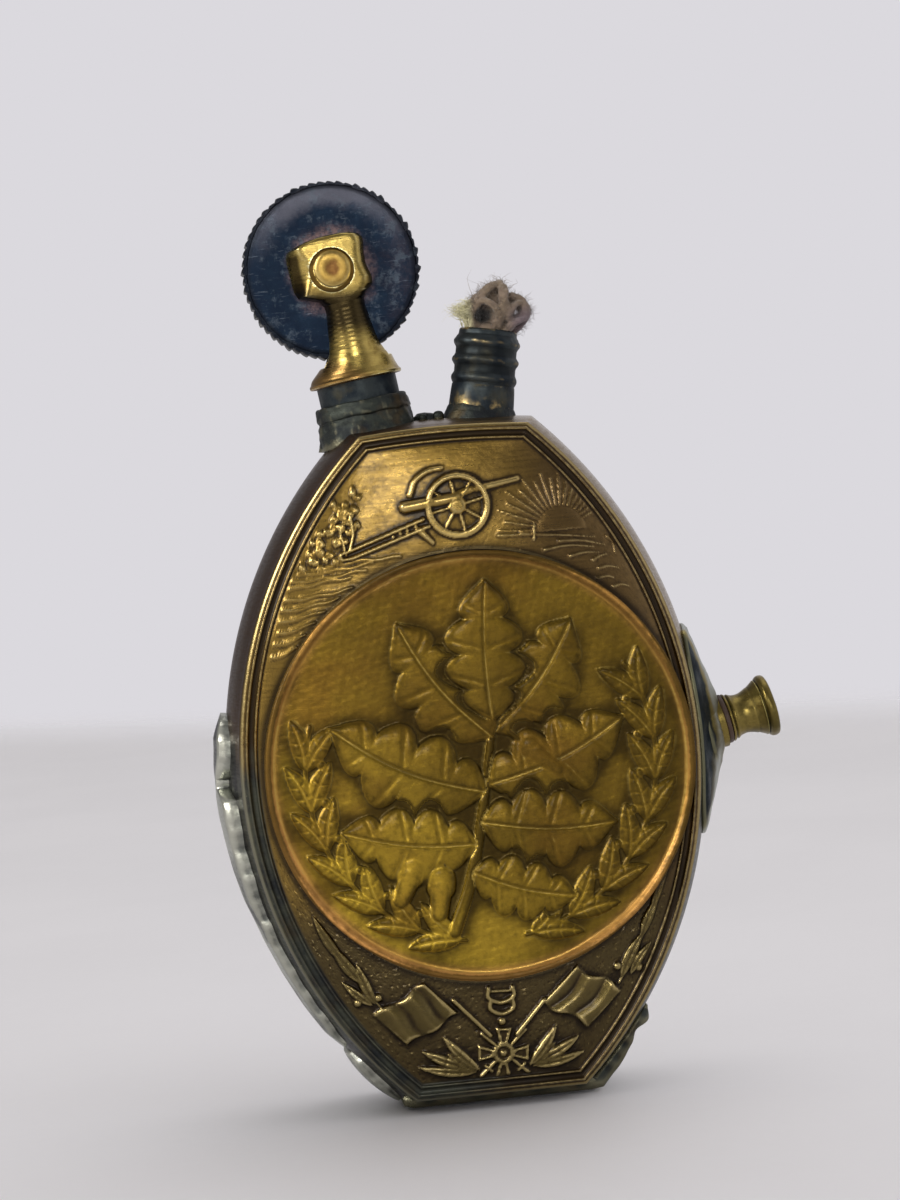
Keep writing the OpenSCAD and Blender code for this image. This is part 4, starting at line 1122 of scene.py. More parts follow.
def fork_rows(striker):
    """Rings up the fork, from its shank through the flare and the neck to the filed head."""
    brim, neck, head = striker.brim / MM / 2, striker.neck / MM / 2, AXLE_HEIGHT
    round_front = 9
    # height, half width, half depth, squareness
    stem = [(3.72, brim - 0.08, brim - 0.08, 2), (3.8, brim, brim, 2), (3.98, brim, brim, 2),
            (4.12, brim - 0.12, brim - 0.12, 2), (4.5, brim - 0.3, brim - 0.3, 2),
            (5.2, brim - 0.78, brim - 0.45, 2.05), (5.7, brim - 1.14, brim - 0.55, 2.1),
            (6.4, brim - 1.5, 3.3, 2.15), (7.4, brim - 1.76, 3.32, 2.3),
            (8.6, neck + 0.24, 3.34, 2.5), (9.6, neck + 0.04, 3.36, 2.8), (10.2, neck + 0.06, 3.38, 3)]
    # height, half width left and right, half depth, squareness, half width of the front face left and right
    stops = np.array([(z, w, w, d, square, round_front, round_front) for z, w, d, square in stem] + [
        (10.6, neck + 0.2, neck + 0.25, 3.4, 5, round_front, round_front),
        (10.95, 2.6, 2.35, 3.4, 9, 2.6, 1.9),
        (11.3, 3.6, 2.75, 3.4, 12, 3.1, 2.15), (11.9, 3.82, 2.82, 3.4, 12, 2.72, 2.3),
        (12.6, 3.84, 2.62, 3.4, 12, 2.36, 2.1), (head, 3.86, 2.55, 3.4, 12, 2.28, 2.02),
        (14.0, 3.88, 2.62, 3.4, 12, 2.45, 2.1), (14.8, 3.86, 2.76, 3.4, 12, 2.74, 2.25),
        (15.2, 3.66, 2.74, 3.4, 10, 2.86, 2.25), (15.5, 3.0, 2.5, 3.36, 8, 2.5, 2.1),
        (15.72, 2.0, 2.0, 3.25, 5, 1.9, 1.8), (15.82, 1.2, 1.3, 3.05, 4, 1.2, 1.2),
        (15.84, 0.4, 0.4, 2.8, 3, 0.4, 0.4)])
    heights = np.unique(np.concatenate([stops[:, 0], np.linspace(3.8, 10.4, 84), np.linspace(10.4, 15.84, 60)]))
    left, right, half_d, square, face_left, face_right = (
        np.interp(heights, stops[:, 0], stops[:, k]) for k in range(1, 7))
    groove = 0.012 * (1 + np.cos(2 * math.pi * heights / 0.36)) * (heights > 6.6) * (heights < 10)
    angle = full_turn(168)
    c, s = np.abs(np.cos(angle)), np.abs(np.sin(angle))
    leftward = np.cos(angle) < 0
    shank = turned([(2.58, -1.78), (2.58, 3.6), (brim - 0.25, 3.7)], len(angle))
    up = []
    for row, z in enumerate(heights):
        w = np.where(leftward, left[row], right[row]) - groove[row]
        f = np.where(leftward, face_left[row], face_right[row])
        d = half_d[row] - groove[row]
        r = ((c / w) ** square[row] + (s / d) ** square[row]) ** (-1 / square[row])
        if face_left[row] < round_front:
            shoulder = np.where(leftward, 1.95, 2.5)
            n = np.stack([d - shoulder, np.maximum(w - f, 0.01)])
            cut = (n[0] * w + n[1] * shoulder) / (n[0] * c + n[1] * s + 1e-9)
            r = (r ** -26.0 + cut ** -26.0) ** (-1 / 26)
        shift = 0.4 * blend(z, 4.3, 5.6) - 0.1 * blend(z, 10, 11)
        up.append(np.column_stack([r * np.cos(angle) + shift, r * np.sin(angle), np.full(len(angle), z)]))
    return np.concatenate([shank, np.array(up)])


def block(low, high):
    """A plain box for cutting."""
    (x0, y0, z0), (x1, y1, z1) = low, high
    ring = [(x0, y0), (x1, y0), (x1, y1), (x0, y1)]
    return skin(np.array([[(x, y, z) for x, y in ring] for z in (z0, z1)], float))


def across_y(profile, columns=64):
    """A turned form whose axis runs from front to back through the axle."""
    rows = turned(profile, columns)
    return rows[..., [0, 2, 1]] + (0, 0, AXLE_HEIGHT)


def build_striker(striker, colours):
    wheel = wheel_finish(striker, colours)
    add_piece("wheel_striking", wheel_parts(striker, wheel), wheel, "wheel", "striker_wheel", sharp=30,
              rounds=2)
    body = mesh_of("fork_striker", [skin(fork_rows(striker))])
    recess = across_y([(1.86, -5), (1.86, -2.75)])
    tools = [block((-8, -1.65, 5.3), (8, 1.65, 17)), skin(turned([(1.35, -3), (1.35, 5.6)], 48)),
             skin(across_y([(1.03, -5), (1.03, 5)])), skin(recess + (-0.12, 0, -0.14))]
    points, quads, tris = part_of(carved(body, tools))
    x, y, z = points.T
    # The scoop: the hollow filed side of the head, which the finish paints dark, partly as oxide and partly as painted
    # shade.
    scoop = blend(-x, 2.45, 2.75) * blend(-np.abs(x), -3.66, -3.4) * blend(np.abs(y), 1.9, 2.2)
    scoop = scoop * blend(z, 11.15, 11.6) * blend(-z, -15.1, -14.6)
    add_piece("fork_striker", [(STRIKER.out(points), quads, tris)], fork_finish(colours), "striker",
              "striker_fork", sharp=38, rounds=3, layers={"scoop": scoop})
    shaft = across_y([(0.05, -2.7), (1.0, -2.7), (1.0, 3.3), (0.9, 3.36), (0.05, 3.36)])
    head = across_y([(0.05, -3.3), (0.4, -3.3), (0.62, -3.34), (1.05, -3.36), (1.36, -3.31), (1.5, -3.2),
                     (1.53, -2.66), (0.05, -2.66)])
    add_piece("screw_axle", [STRIKER.solid(shaft), STRIKER.solid(head)], screw_finish(), "striker",
              "axle_screw", sharp=40, rounds=2)


# The wick tube, the wick and the filler

def build_wick_tube():
    outer = [(2.72, -6.95), (2.74, -6.8), (2.74, 0.4), (2.7, 1.2), (2.66, 2.0), (2.62, 2.4)]
    for crest, high in ((2.64, 2.78), (4.14, 2.82), (5.64, 2.81)):
        outer += [(2.57, crest - 0.16), (2.66, crest + 0.0), (high - 0.03, crest + 0.18), (high, crest + 0.33),
                  (high - 0.03, crest + 0.48), (2.66, crest + 0.66), (2.58, crest + 0.84)]
    outer += [(2.5, 6.55), (2.46, 6.7), (2.44, 6.95), (2.36, 7.08), (2.2, 7.1), (2.04, 7.04), (2.0, 6.9)]
    rows = turned(outer, 120)
    shift = 0.035 * ripple(rows, 2.0, 111) + 0.025 * ripple(rows, 0.8, 112)
    rows[..., :2] *= (1 + np.minimum(shift, 0.01) / 2.7)[..., None]
    rows = np.concatenate([rows, turned([(2.0, 4), (2.0, 0), (2.0, -6.95)], 120)])
    add_piece("tube_wick", [WICK.solid(rows, hollow=True)], tube_finish("wick tube"), "tank",
              "wick_tube", rounds=4)


def tuft_strands():
    """The thick twisted strands that the frayed wick opens into, in the frame of the wick."""
    lines = [
        [(-0.9, -0.6, 6.6), (-1.4, -1.0, 8.0), (-1.2, -1.2, 9.4), (-0.3, -0.8, 10.6), (0.5, -0.3, 11.1)],
        [(0.4, -0.8, 6.6), (0.6, -1.4, 8.0), (0.9, -1.7, 9.3), (0.8, -1.2, 10.4), (0.5, -0.4, 11.0)],
        [(1.0, -0.5, 6.6), (1.8, -1.0, 7.8), (2.7, -1.2, 8.8), (2.4, -0.9, 9.7), (1.4, -0.6, 10.2)],
        [(1.3, 0, 6.7), (2.5, -0.2, 7.6), (3.0, -0.3, 8.6), (2.7, 0, 9.4), (1.9, 0.3, 10.0)],
        [(0.2, 0, 6.6), (0.5, 0.2, 8.5), (0.6, 0, 10), (0.6, 0, 11.0)],
        [(-0.8, 0.5, 6.6), (-1.3, 0.8, 8.2), (-0.9, 1.0, 9.7), (0.0, 0.5, 10.7)],
        [(0.5, 0.9, 6.6), (1.0, 1.5, 8.0), (1.6, 1.5, 9.3), (1.2, 0.8, 10.3)],
        [(-0.2, 1.2, 6.6), (-0.4, 1.8, 8.1), (0.2, 1.6, 9.5), (0.5, 0.8, 10.5)],
        [(1.2, -1.0, 6.9), (2.0, -1.6, 7.9), (2.8, -1.3, 8.3), (3.0, -0.7, 9.0), (2.3, -1.1, 9.6), (1.6, -1.6, 9.0),
         (1.4, -1.5, 8.0)],
        [(-1.5, -0.9, 8.9), (-0.7, -1.7, 9.4), (0.2, -1.9, 8.9), (0.7, -1.6, 8.0), (0.5, -1.2, 7.0)],
        [(-1.5, -0.2, 7.2), (-1.8, -0.4, 8.2), (-1.6, -0.3, 9.2), (-0.8, -0.1, 10.1)],
        [(1.5, 1.0, 7.0), (2.6, 1.0, 8.0), (2.8, 0.9, 9.1), (2.0, 1.0, 9.8)]]
    rng = np.random.default_rng(31)
    parts = []
    for line in lines:
        path = curve(line, 9)
        size = rng.uniform(0.38, 0.55)
        t = np.linspace(0, 1, len(path))
        twist = rng.uniform(0, 6)
        for k in range(3):
            turn = twist + 2.1 * k + 7 * t
            ply = path + 0.42 * size * np.column_stack([np.cos(turn), np.sin(turn), 0.4 * np.sin(turn + 1)])
            parts.append(rod(ply, size * (0.66 - 0.2 * t + 0.05 * np.sin(9 * t + k)), 8))
    return parts


def build_wick(wick, colours):
    finish = cotton_finish(colours)
    wide, tall = wick.width / MM / TUFT_WIDTH, wick.height / MM / TUFT_HEIGHT
    low = 6.8
    cord = turned([(1.6, -12), (1.68, -11.7), (1.68, 0), (1.68, 6.4), (1.6, 7.2), (1.0, 7.8), (0.1, 8.0)], 40)
    heart = curve([(0.1, 7.2), (1.2, 7.6), (1.5, 8.6), (1.2, 9.6), (0.6, 10.4), (0.1, 10.7)], 4)
    heart = turned(heart, 24) + (0.5, 0, 0)
    thing = temporary(mesh_of("strands", [skin(heart)] + tuft_strands()))
    points, quads, tris = part_of(settled(remeshed(thing, 0.13)))
    points[:, 0] = points[:, 0] * wide
    points[:, 2] = low + (points[:, 2] - low) * tall
    centre = points.mean(0)
    away = points - centre
    away /= np.maximum(np.linalg.norm(away, axis=1), 0.01)[:, None]
    points = points + away * (0.07 * ripple(points, 0.9, 122) + 0.04 * ripple(points, 0.35, 123))[:, None]
    tuft = (WICK.out(points), quads, tris)
    t = np.linspace(0, 1, 6)
    bend = np.column_stack([0.3 * t ** 2 + 0.05 * np.sin(9 * t), 0.14 * np.sin(5 * t), t])
    fibre = temporary(mesh_of("fibre", [rod(bend, 0.022 * (1.15 - t), 3)]))
    hairs = grown(fibres_tree(), mesh_of("tuft", [tuft]), {
        "Density": wick.fibres * 1e4, "Length": wick.fibre / MM, "Fibre": fibre, "Tilt": 1.3, "Seed": wick.seed,
        "Finish": finish})
    bpy.data.objects.remove(fibre)
    parts = [WICK.solid(cord), tuft, part_of(hairs)] + stray_fibres()
    add_piece("wick_cotton", parts, finish, "wick", "wick", rounds=3)


def stray_fibres():
    """A loose wisp to the left of the tuft and a few long hairs."""
    rng = np.random.default_rng(17)
    strands = []

    def hair(start, end, sag, thick):
        t = np.linspace(0, 1, 10)[:, None]
        start, end = np.array(start, float), np.array(end, float)
        line = start + (end - start) * t + np.array(sag, float) * np.sin(math.pi * t)
        line = line + 0.05 * np.sin(t * rng.uniform(8, 16) + rng.uniform(0, 6, 3))
        strands.append(rod(WICK.out(line), thick * (1.2 - t[:, 0]), 3))

    for _ in range(260):
        start = (-1.5 + rng.normal(0, 0.3), -0.6 + rng.normal(0, 0.6), 8.3 + rng.normal(0, 0.55))
        end = (-2.7 + rng.normal(0, 0.5), -0.8 + rng.normal(0, 0.8), 8.5 + rng.normal(0, 0.3))
        hair(start, end, rng.normal(0, 0.22, 3), 0.035)
    for start, end, sag in [((-1.2, -0.5, 9.4), (-2.0, -0.6, 12.0), (-0.5, 0, 0)),
                            ((-0.9, 0, 9.8), (-2.2, 0.2, 11.2), (0.5, 0, 0.2)),
                            ((0.9, 0, 11.0), (1.5, -0.2, 12.0), (-0.35, 0, 0.2)),
                            ((1.3, -0.3, 10.8), (1.9, 0, 11.6), (0.35, 0, 0)),
                            ((2.6, 0, 8.2), (2.9, -0.4, 7.2), (0.4, 0, -0.1)),
                            ((-2.2, -0.4, 8.3), (-4.0, -0.5, 7.4), (0, 0, 0.5)),
                            ((-2.4, -0.4, 8.6), (-4.1, -0.5, 8.2), (0, 0, 0.3)),
                            ((0.5, -0.2, 11.1), (-0.6, -0.3, 11.5), (0.1, 0, 0.35))]:
        hair(start, end, sag, 0.02)
    return strands


def build_filler():
    seat = 2.32

    def above(*points):
        return [(r, seat + rise) for r, rise in points]

    profile = [(0.1, -2.0), (1.3, -2.0), (1.45, -1.85), (1.45, seat - 0.02), (1.9, seat)]
    profile += curve(above((2.0, 0), (2.06, 0.12), (1.98, 0.24)), 3).tolist() + above((1.84, 0.28), (1.84, 0.36))
    profile += curve(above((1.9, 0.4), (1.93, 0.5), (1.85, 0.62), (1.76, 0.85), (1.72, 1.3), (1.82, 1.8), (2.02, 2.3),
                           (2.3, 2.75), (2.45, 2.95)), 4).tolist() + above((2.36, 3.02), (2.4, 3.1))
    profile += curve(above((2.55, 3.16), (2.68, 3.35), (2.7, 3.6), (2.62, 3.84), (2.42, 3.95), (2.2, 3.96)),
                     4).tolist() + above((1.9, 3.9), (0.1, 3.86))
    rows = turned(profile, 96)
    outside = rows[..., 2] > seat + 0.5
    away = np.maximum(np.hypot(rows[..., 0], rows[..., 1]), 0.01)
    dent = 0.05 * ripple(rows, 2.3, 131) * outside * (away > 1)
    rows[..., :2] *= ((away + dent - 0.05 * outside * (away > 2)) / away)[..., None]
    add_piece("knob_filler", [FILLER.solid(rows)], knob_finish(), "filler_plug", "filler_plug",
              rounds=4)
    ring = curve([(1.55, 1.84), (1.8, 1.81), (2.05, 1.86), (2.1, 2.06), (2.05, 2.26), (1.8, 2.31), (1.55, 2.28),
                  (1.52, 2.06)], 3)
    rows = turned(ring, 72)
    rows[..., :2] *= (1 + 0.006 * ripple(rows, 1.3, 141))[..., None]
    add_piece("washer_filler", [FILLER.solid(rows, hollow=True)], leather_finish(), "filler_seal",
              "filler_gasket", rounds=3)


def build_inside():
    """The cotton wadding, and finishes for the CAD pieces that stay."""
    thing = temporary(frame["nodes"]["cotton_packing"].data.copy())
    merge = thing.modifiers.new("merge", "WELD")
    merge.merge_threshold = 1e-6
    mesh = settled(remeshed(thing, 0.5))
    points, normals = read(mesh.vertices, "co", 3) / MM, read(mesh.vertices, "normal", 3)
    sink = 0.22 + 0.14 * ripple(points, 4.5, 151) + 0.08 * ripple(points, 1.6, 152)
    points = points - normals * np.clip(sink, 0.02, 0.6)[:, None]
    mesh.vertices.foreach_set("co", (points * MM).ravel())
    mesh.update()
    wadding, spring, flint = (grained(*values) for values in (
        ("cotton wadding", (5, 4), (0.5, 6, 0.7), (232, 228, 216), (206, 196, 170), (0.85, 0.95), 0.0, 0.8),
        ("spring wire", (2.0, 4), (0.15, 5), (150, 150, 152), (96, 86, 76), (0.28, 0.42), 1.0, 0.2),
        ("flint", (1.0, 4), (0.2, 6, 0.7), (74, 72, 70), (44, 42, 42), (0.45, 0.6), 0.7, 0.6)))
    tube = tube_finish("flint tube")
    add_piece("wadding_cotton", mesh, wadding, "tank", "cotton_packing")
    for node, finish in (("flint_tube", tube), ("flint_tube_plug", tube), ("filler_bush", knob_finish()),
                         ("flint_spring", spring), ("flint", flint)):
        slots = frame["nodes"][node].data.materials
        slots.clear()
        slots.append(finish)


# Materials

class Nodes:
    """Adds nodes to one tree and links them."""

    def __init__(self, tree):
        self.tree = tree

    def put(self, socket, value):
        """Links a socket, or sets it. A colour of three whole numbers is one as it shows on a screen."""
        if isinstance(value, bpy.types.NodeSocket):
            self.tree.links.new(value, socket)
        elif socket.type == "RGBA" and len(value) == 3:
            linear = srgb(*value) if isinstance(value, tuple) and isinstance(value[0], int) else value
            socket.default_value = (*linear, 1)
        else:
            socket.default_value = value

    def fill(self, node, inputs):
        """Sets or links a node's inputs, given by name or number."""
        for label, value in inputs.items():
            self.put(node.inputs[label], value)
        return node

    def add(self, kind, *values, inputs=None, **settings):
        node = self.tree.nodes.new(kind)
        for key, value in settings.items():
            setattr(node, key, value)
        return self.fill(node, {**dict(enumerate(values)), **(inputs or {})})

    def first(self, kind, *values, **more):
        """Adds a node and gives its first output."""
        return self.add(kind, *values, **more).outputs[0]

    def math(self, operation, *values):
        return self.first("ShaderNodeMath", *values, operation=operation)

    def times(self, first, *others):
        for other in others:
            first = self.math("MULTIPLY", first, other)
        return first

    def madd(self, value, factor, more):
        return self.math("MULTIPLY_ADD", value, factor, more)

    def reach(self, a, b):
        """How far a point lies from an axis."""
        return self.math("SQRT", self.math("ADD", self.times(a, a), self.times(b, b)))

    def mix(self, share, a, b):
        return self.add("ShaderNodeMix", data_type="RGBA", inputs={0: share, 6: a, 7: b}).outputs[2]

    def coats(self, shade, *coats):
        """One colour after another over shade, each given as its share and itself."""
        for share, over in coats:
            shade = self.mix(share, shade, over)
        return shade

    def ramp(self, value, low, high, start=0.0, end=1.0):
        return self.first("ShaderNodeMapRange", value, low, high, start, end, interpolation_type="SMOOTHSTEP")

    def ragged(self, noise, amount, value, *limits):
        """A ramp along value whose edge wanders with a noise."""
        return self.ramp(self.madd(noise, amount, value), *limits)

    def noise(self, where, size, detail=4.0, rough=0.55):
        """Noise whose bumps are about size millimetres across."""
        values = {"Vector": where, "Scale": 1 / size, "Detail": detail, "Roughness": rough}
        return self.first("ShaderNodeTexNoise", inputs=values)

    def place(self, turn=(0, 0, 0), scale=(1, 1, 1), centre=(0, 0, 0)):
        """Object coordinates in millimetres, about a centre, turned and stretched."""
        where = self.add("ShaderNodeTexCoord").outputs["Object"]
        scaled = self.first("ShaderNodeVectorMath", where, operation="SCALE", inputs={"Scale": 1 / MM})
        moved = self.first("ShaderNodeVectorMath", scaled, centre, operation="SUBTRACT")
        return self.first("ShaderNodeMapping", moved, vector_type="POINT", inputs={"Rotation": turn, "Scale": scale})

    def layer(self, name):
        return self.add("ShaderNodeAttribute", attribute_name=name).outputs["Fac"]

    def split(self, where):
        return self.add("ShaderNodeSeparateXYZ", where).outputs

    def effect(self, name, fill, inputs, values):
        """Places a shader node group, built once, with this material's own values.

        It gives Color, Roughness and Height, and reads the piece's wear unless told otherwise.
        """
        tree = bpy.data.node_groups.get(name)
        if not tree:
            tree = bpy.data.node_groups.new(name, "ShaderNodeTree")
            for label, value in inputs.items():
                kind = "Color" if isinstance(value, tuple) else "Float"
                socket = tree.interface.new_socket(name=label, in_out="INPUT", socket_type="NodeSocket" + kind)
                socket.default_value = (*value, 1) if kind == "Color" else value
            for label, kind in (("Color", "Color"), ("Roughness", "Float"), ("Height", "Float")):
                tree.interface.new_socket(name=label, in_out="OUTPUT", socket_type="NodeSocket" + kind)
            inner = Nodes(tree)
            inner.add("NodeGroupOutput", *fill(inner, inner.add("NodeGroupInput").outputs))
        if "Wear" not in values:
            values["Wear"] = self.layer("wear")
        return self.add("ShaderNodeGroup", node_tree=tree, inputs=values).outputs


class Finish(Nodes):
    """The nodes of one material."""

    def __init__(self, name):
        self.material = bpy.data.materials.new(name)
        self.material.use_nodes = True
        super().__init__(self.material.node_tree)

    def dress(self, shade, rough, height, metal=1.0, strength=0.35, distance=0.06, more=None):
        """Joins the colour, the roughness, the height and more to the shader. Returns the material."""
        values = {"Height": height, "Strength": strength, "Distance": distance * MM}
        bump = self.first("ShaderNodeBump", inputs=values)
        values = {"Base Color": shade, "Roughness": rough, "Metallic": metal, "Normal": bump}
        self.fill(self.tree.nodes["Principled BSDF"], {**values, **(more or {})})
        return self.material


def aged_metal(nodes, **values):
    """Metal with patina in its hollows, mottling, rubbed edges and fine scratches."""
    def fill(nodes, given):
        where = nodes.place()
        broad, fine = nodes.noise(where, 4.5, 5), nodes.noise(where, 0.5, 6, 0.65)
        scratch = nodes.noise(nodes.place(turn=(0.3, 0.9, 0.2), scale=(0.25, 1, 6)), 1.1, 3, 0.6)
        grime = nodes.madd(nodes.math("SUBTRACT", fine, 0.5), 0.09, given["Wear"])
        hollow = nodes.times(nodes.ramp(grime, 0.012, -0.05), given["Dirt"])
        raised = nodes.times(nodes.ramp(grime, 0.015, 0.07), given["Rub"])
        patch = nodes.times(nodes.ramp(broad, 0.42, 0.68), given["Mottle"])
        patina = given["Patina"]
        shade = nodes.coats(given["Metal"], (patch, patina), (nodes.ramp(fine, 0.55, 0.8, 0.0, 0.3), patina),
                            (hollow, patina), (raised, given["Rubbed"]))
        rough = nodes.madd(hollow, 0.25, given["Gloss"])
        rough = nodes.madd(nodes.ramp(scratch, 0.35, 0.75), 0.12, rough)
        return shade, nodes.madd(patch, 0.12, rough), nodes.madd(scratch, 0.35, fine)
    return nodes.effect("Aged metal", fill, {
        "Metal": (0.3, 0.2, 0.1), "Patina": (0.03, 0.02, 0.01), "Rubbed": (0.6, 0.5, 0.3), "Wear": 0.0, "Dirt": 0.9,
        "Rub": 0.8, "Mottle": 0.35, "Gloss": 0.3}, values)


def old_solder(nodes, **values):
    """Solder with a dull mottled skin, brown and blue stains and bright flecks."""
    def fill(nodes, given):
        where = nodes.place()
        broad, fine = nodes.noise(where, 2.4, 5, 0.6), nodes.noise(where, 0.35, 6, 0.7)
        stain = nodes.noise(nodes.place(centre=(9, 4, 2)), 3.2, 4, 0.6)
        fleck = nodes.math("ADD", nodes.ramp(fine, 0.66, 0.76), nodes.ramp(given["Wear"], 0.03, 0.12, 0.0, 0.7))
        fleck = nodes.math("MINIMUM", fleck, 1.0)
        shade = nodes.coats(given["Skin"], (nodes.ramp(broad, 0.38, 0.66), given["Deep"]),
                            (nodes.ramp(stain, 0.5, 0.7, 0.0, 0.55), given["Stain"]), (fleck, given["Bright"]))
        rough = nodes.madd(fleck, -0.22, nodes.ramp(broad, 0.3, 0.7, 0.42, 0.62))
        return shade, rough, nodes.madd(broad, 0.8, fine)
    return nodes.effect("Old solder", fill, {
        "Skin": (0.1, 0.1, 0.1), "Deep": (0.03, 0.03, 0.04), "Stain": (0.1, 0.06, 0.03), "Bright": (0.5, 0.5, 0.45),
        "Wear": 0.0}, values)


def greasy(weight):
    """A thin glossy skin of grease and handling over the metal."""
    return {"Coat Weight": weight, "Coat Roughness": 0.2}


def case_finish(colours):
    """Aged brass: olive gold above, dark brown below, solder skin low on the left; painted shade darkens it to the
    right, and patina with painted shade darkens its hollows. The upper walls carry a painted reflection, and a painted
    shadow runs along the seam strip's edge.
    """
    nodes = Finish("case brass")
    where = nodes.place()
    x, y, z = nodes.split(where)
    inset, drift = nodes.layer("inset"), nodes.noise(where, 5, 4)
    lower = nodes.ragged(drift, 6.0, z, 25.0, 17.0)
    # Painted shade: the case is painted darker brown towards the right, away from the light on the left.
    right = nodes.ragged(drift, 7.0, x, 4.0, 13.0)
    bold = nodes.times(nodes.ramp(nodes.layer("bold"), 0.08, 0.28), nodes.ramp(drift, 0.3, 0.7, 0.55, 0.95))
    base = nodes.coats(colours.brass, (nodes.times(right, 0.85), (92, 72, 44)), (lower, (76, 64, 36)),
                       (nodes.ramp(inset, 1.6, 1.3, 0.0, 0.6), (66, 50, 30)),
                       (bold, nodes.mix(lower, (158, 132, 70), (108, 94, 52))))
    metal = aged_metal(nodes, Metal=base, Patina=colours.patina, Rubbed=colours.rubbed, Dirt=0.9, Rub=0.4,
                       Mottle=0.3, Gloss=0.25)
    solder = old_solder(nodes, Skin=(66, 68, 58), Deep=(30, 34, 38), Stain=(58, 46, 28), Bright=(128, 126, 108))
    # sunk paints the shade layer dark brown: patina in the hollows together with painted shade.
    sunk = nodes.madd(nodes.math("SUBTRACT", drift, 0.5), 0.1, nodes.layer("shade"))
    on_wall, left = nodes.ramp(nodes.layer("wall"), 0.2, 0.35), nodes.ramp(x, 6.0, -6.0)
    # Painted reflection: the upper walls are painted pale grey brown on the right, for the bright room they mirror,
    # and dark brown on the left, for the dark room they mirror.
    high = nodes.times(on_wall, nodes.ragged(drift, 8.0, z, 28.0, 36.0))
    near = nodes.math("MAXIMUM", on_wall, nodes.times(nodes.ramp(inset, 1.7, 1.2), left))
    stained = nodes.times(near, nodes.ragged(drift, 9.0, z, 38.0, 31.0), 0.95)
    # Painted shadow: a near black line on the left wall along the edge of the seam strip, below its tab.
    seam = nodes.times(nodes.ramp(nodes.math("ABSOLUTE", y), 4.35, 4.1),
                       nodes.times(on_wall, nodes.ramp(z, 33.0, 31.0)))
    shade = nodes.coats(metal["Color"], (nodes.ramp(sunk, 0.03, 0.15, 0.0, 0.85), (30, 22, 12)),
                        (nodes.times(high, 0.85), nodes.mix(left, (124, 104, 72), (68, 46, 30))),
                        (stained, solder["Color"]), (nodes.times(seam, left), (14, 14, 12)))
    rough = nodes.madd(stained, 0.14, metal["Roughness"])
    rough = nodes.madd(nodes.times(high, left), 0.08, rough)
    return nodes.dress(shade, rough, metal["Height"], strength=0.3, more=greasy(0.22))


def medal_finish(colours):
    """Struck bronze: olive gold, dark in the hollows with patina and painted shade, coppery on the worn rim, which is
    painted bright there as a highlight.
    """
    nodes = Finish("medal bronze")
    where = nodes.place()
    x, _, z = nodes.split(where)
    drift = nodes.noise(where, 6, 4)
    # low is strongest towards the lower left. With the rim layer it sets where the rim is painted copper, bright as a
    # painted highlight.
    low = nodes.ragged(drift, 9.0, nodes.madd(x, 0.5, z), 36.0, 14.0, 0.4, 1.0)
    olive = nodes.ragged(drift, 12.0, nodes.math("ADD", z, x), 36.0, 8.0)
    base = nodes.coats(colours.bronze, (olive, (176, 146, 46)),
                       (nodes.ramp(nodes.noise(where, 9, 3), 0.45, 0.7, 0.0, 0.6), (118, 84, 30)),
                       (nodes.times(nodes.layer("rim"), low), colours.rim_copper_and_highlight))
    metal = aged_metal(nodes, Metal=base, Patina=(66, 52, 16), Rubbed=(200, 172, 88), Dirt=0.8, Rub=0.45,
                       Mottle=0.4, Gloss=0.34)
    # Patina together with painted shade: the hollows of the shade layer are painted dark olive.
    sunk = nodes.madd(nodes.math("SUBTRACT", drift, 0.5), 0.12, nodes.layer("shade"))
    shade = nodes.mix(nodes.ramp(sunk, 0.0, 0.15, 0.0, 0.9), metal["Color"], (44, 33, 10))
    return nodes.dress(shade, metal["Roughness"], metal["Height"], more=greasy(0.1))


def tin_finish(colours):
    """A worn tinned strip: silver grey with dark nicks, and a dark oval in its round end."""
    nodes = Finish("tinned strip")
    where = nodes.place()
    _, y, z = nodes.split(where)
    metal = aged_metal(nodes, Metal=colours.tin, Patina=(46, 48, 48), Rubbed=(206, 206, 192), Dirt=0.9, Rub=0.6,
                       Mottle=0.9, Gloss=0.3)
    solder = old_solder(nodes, Skin=(96, 98, 92), Deep=(54, 58, 62), Stain=(84, 78, 60), Bright=(190, 190, 176))
    side = nodes.ramp(nodes.math("ABSOLUTE", y), 2.9, 3.3)
    away = nodes.reach(y, nodes.math("SUBTRACT", z, TAB_Z))
    oval = nodes.ragged(nodes.noise(where, 1.2, 3), 0.5, away, 2.7, 2.4, 0.0, 0.9)
    shade = nodes.coats(metal["Color"], (nodes.times(side, 0.45), solder["Color"]), (oval, (56, 58, 60)))
    return nodes.dress(shade, metal["Roughness"], metal["Height"], strength=0.45)


def solder_finish(colours, name):
    """Dull grey green solder."""
    nodes = Finish(name)
    solder = old_solder(nodes, Skin=colours.oxide, Deep=(32, 35, 38), Stain=(92, 74, 44), Bright=(120, 116, 92))
    return nodes.dress(*solder, metal=0.85, strength=0.6, distance=0.1)


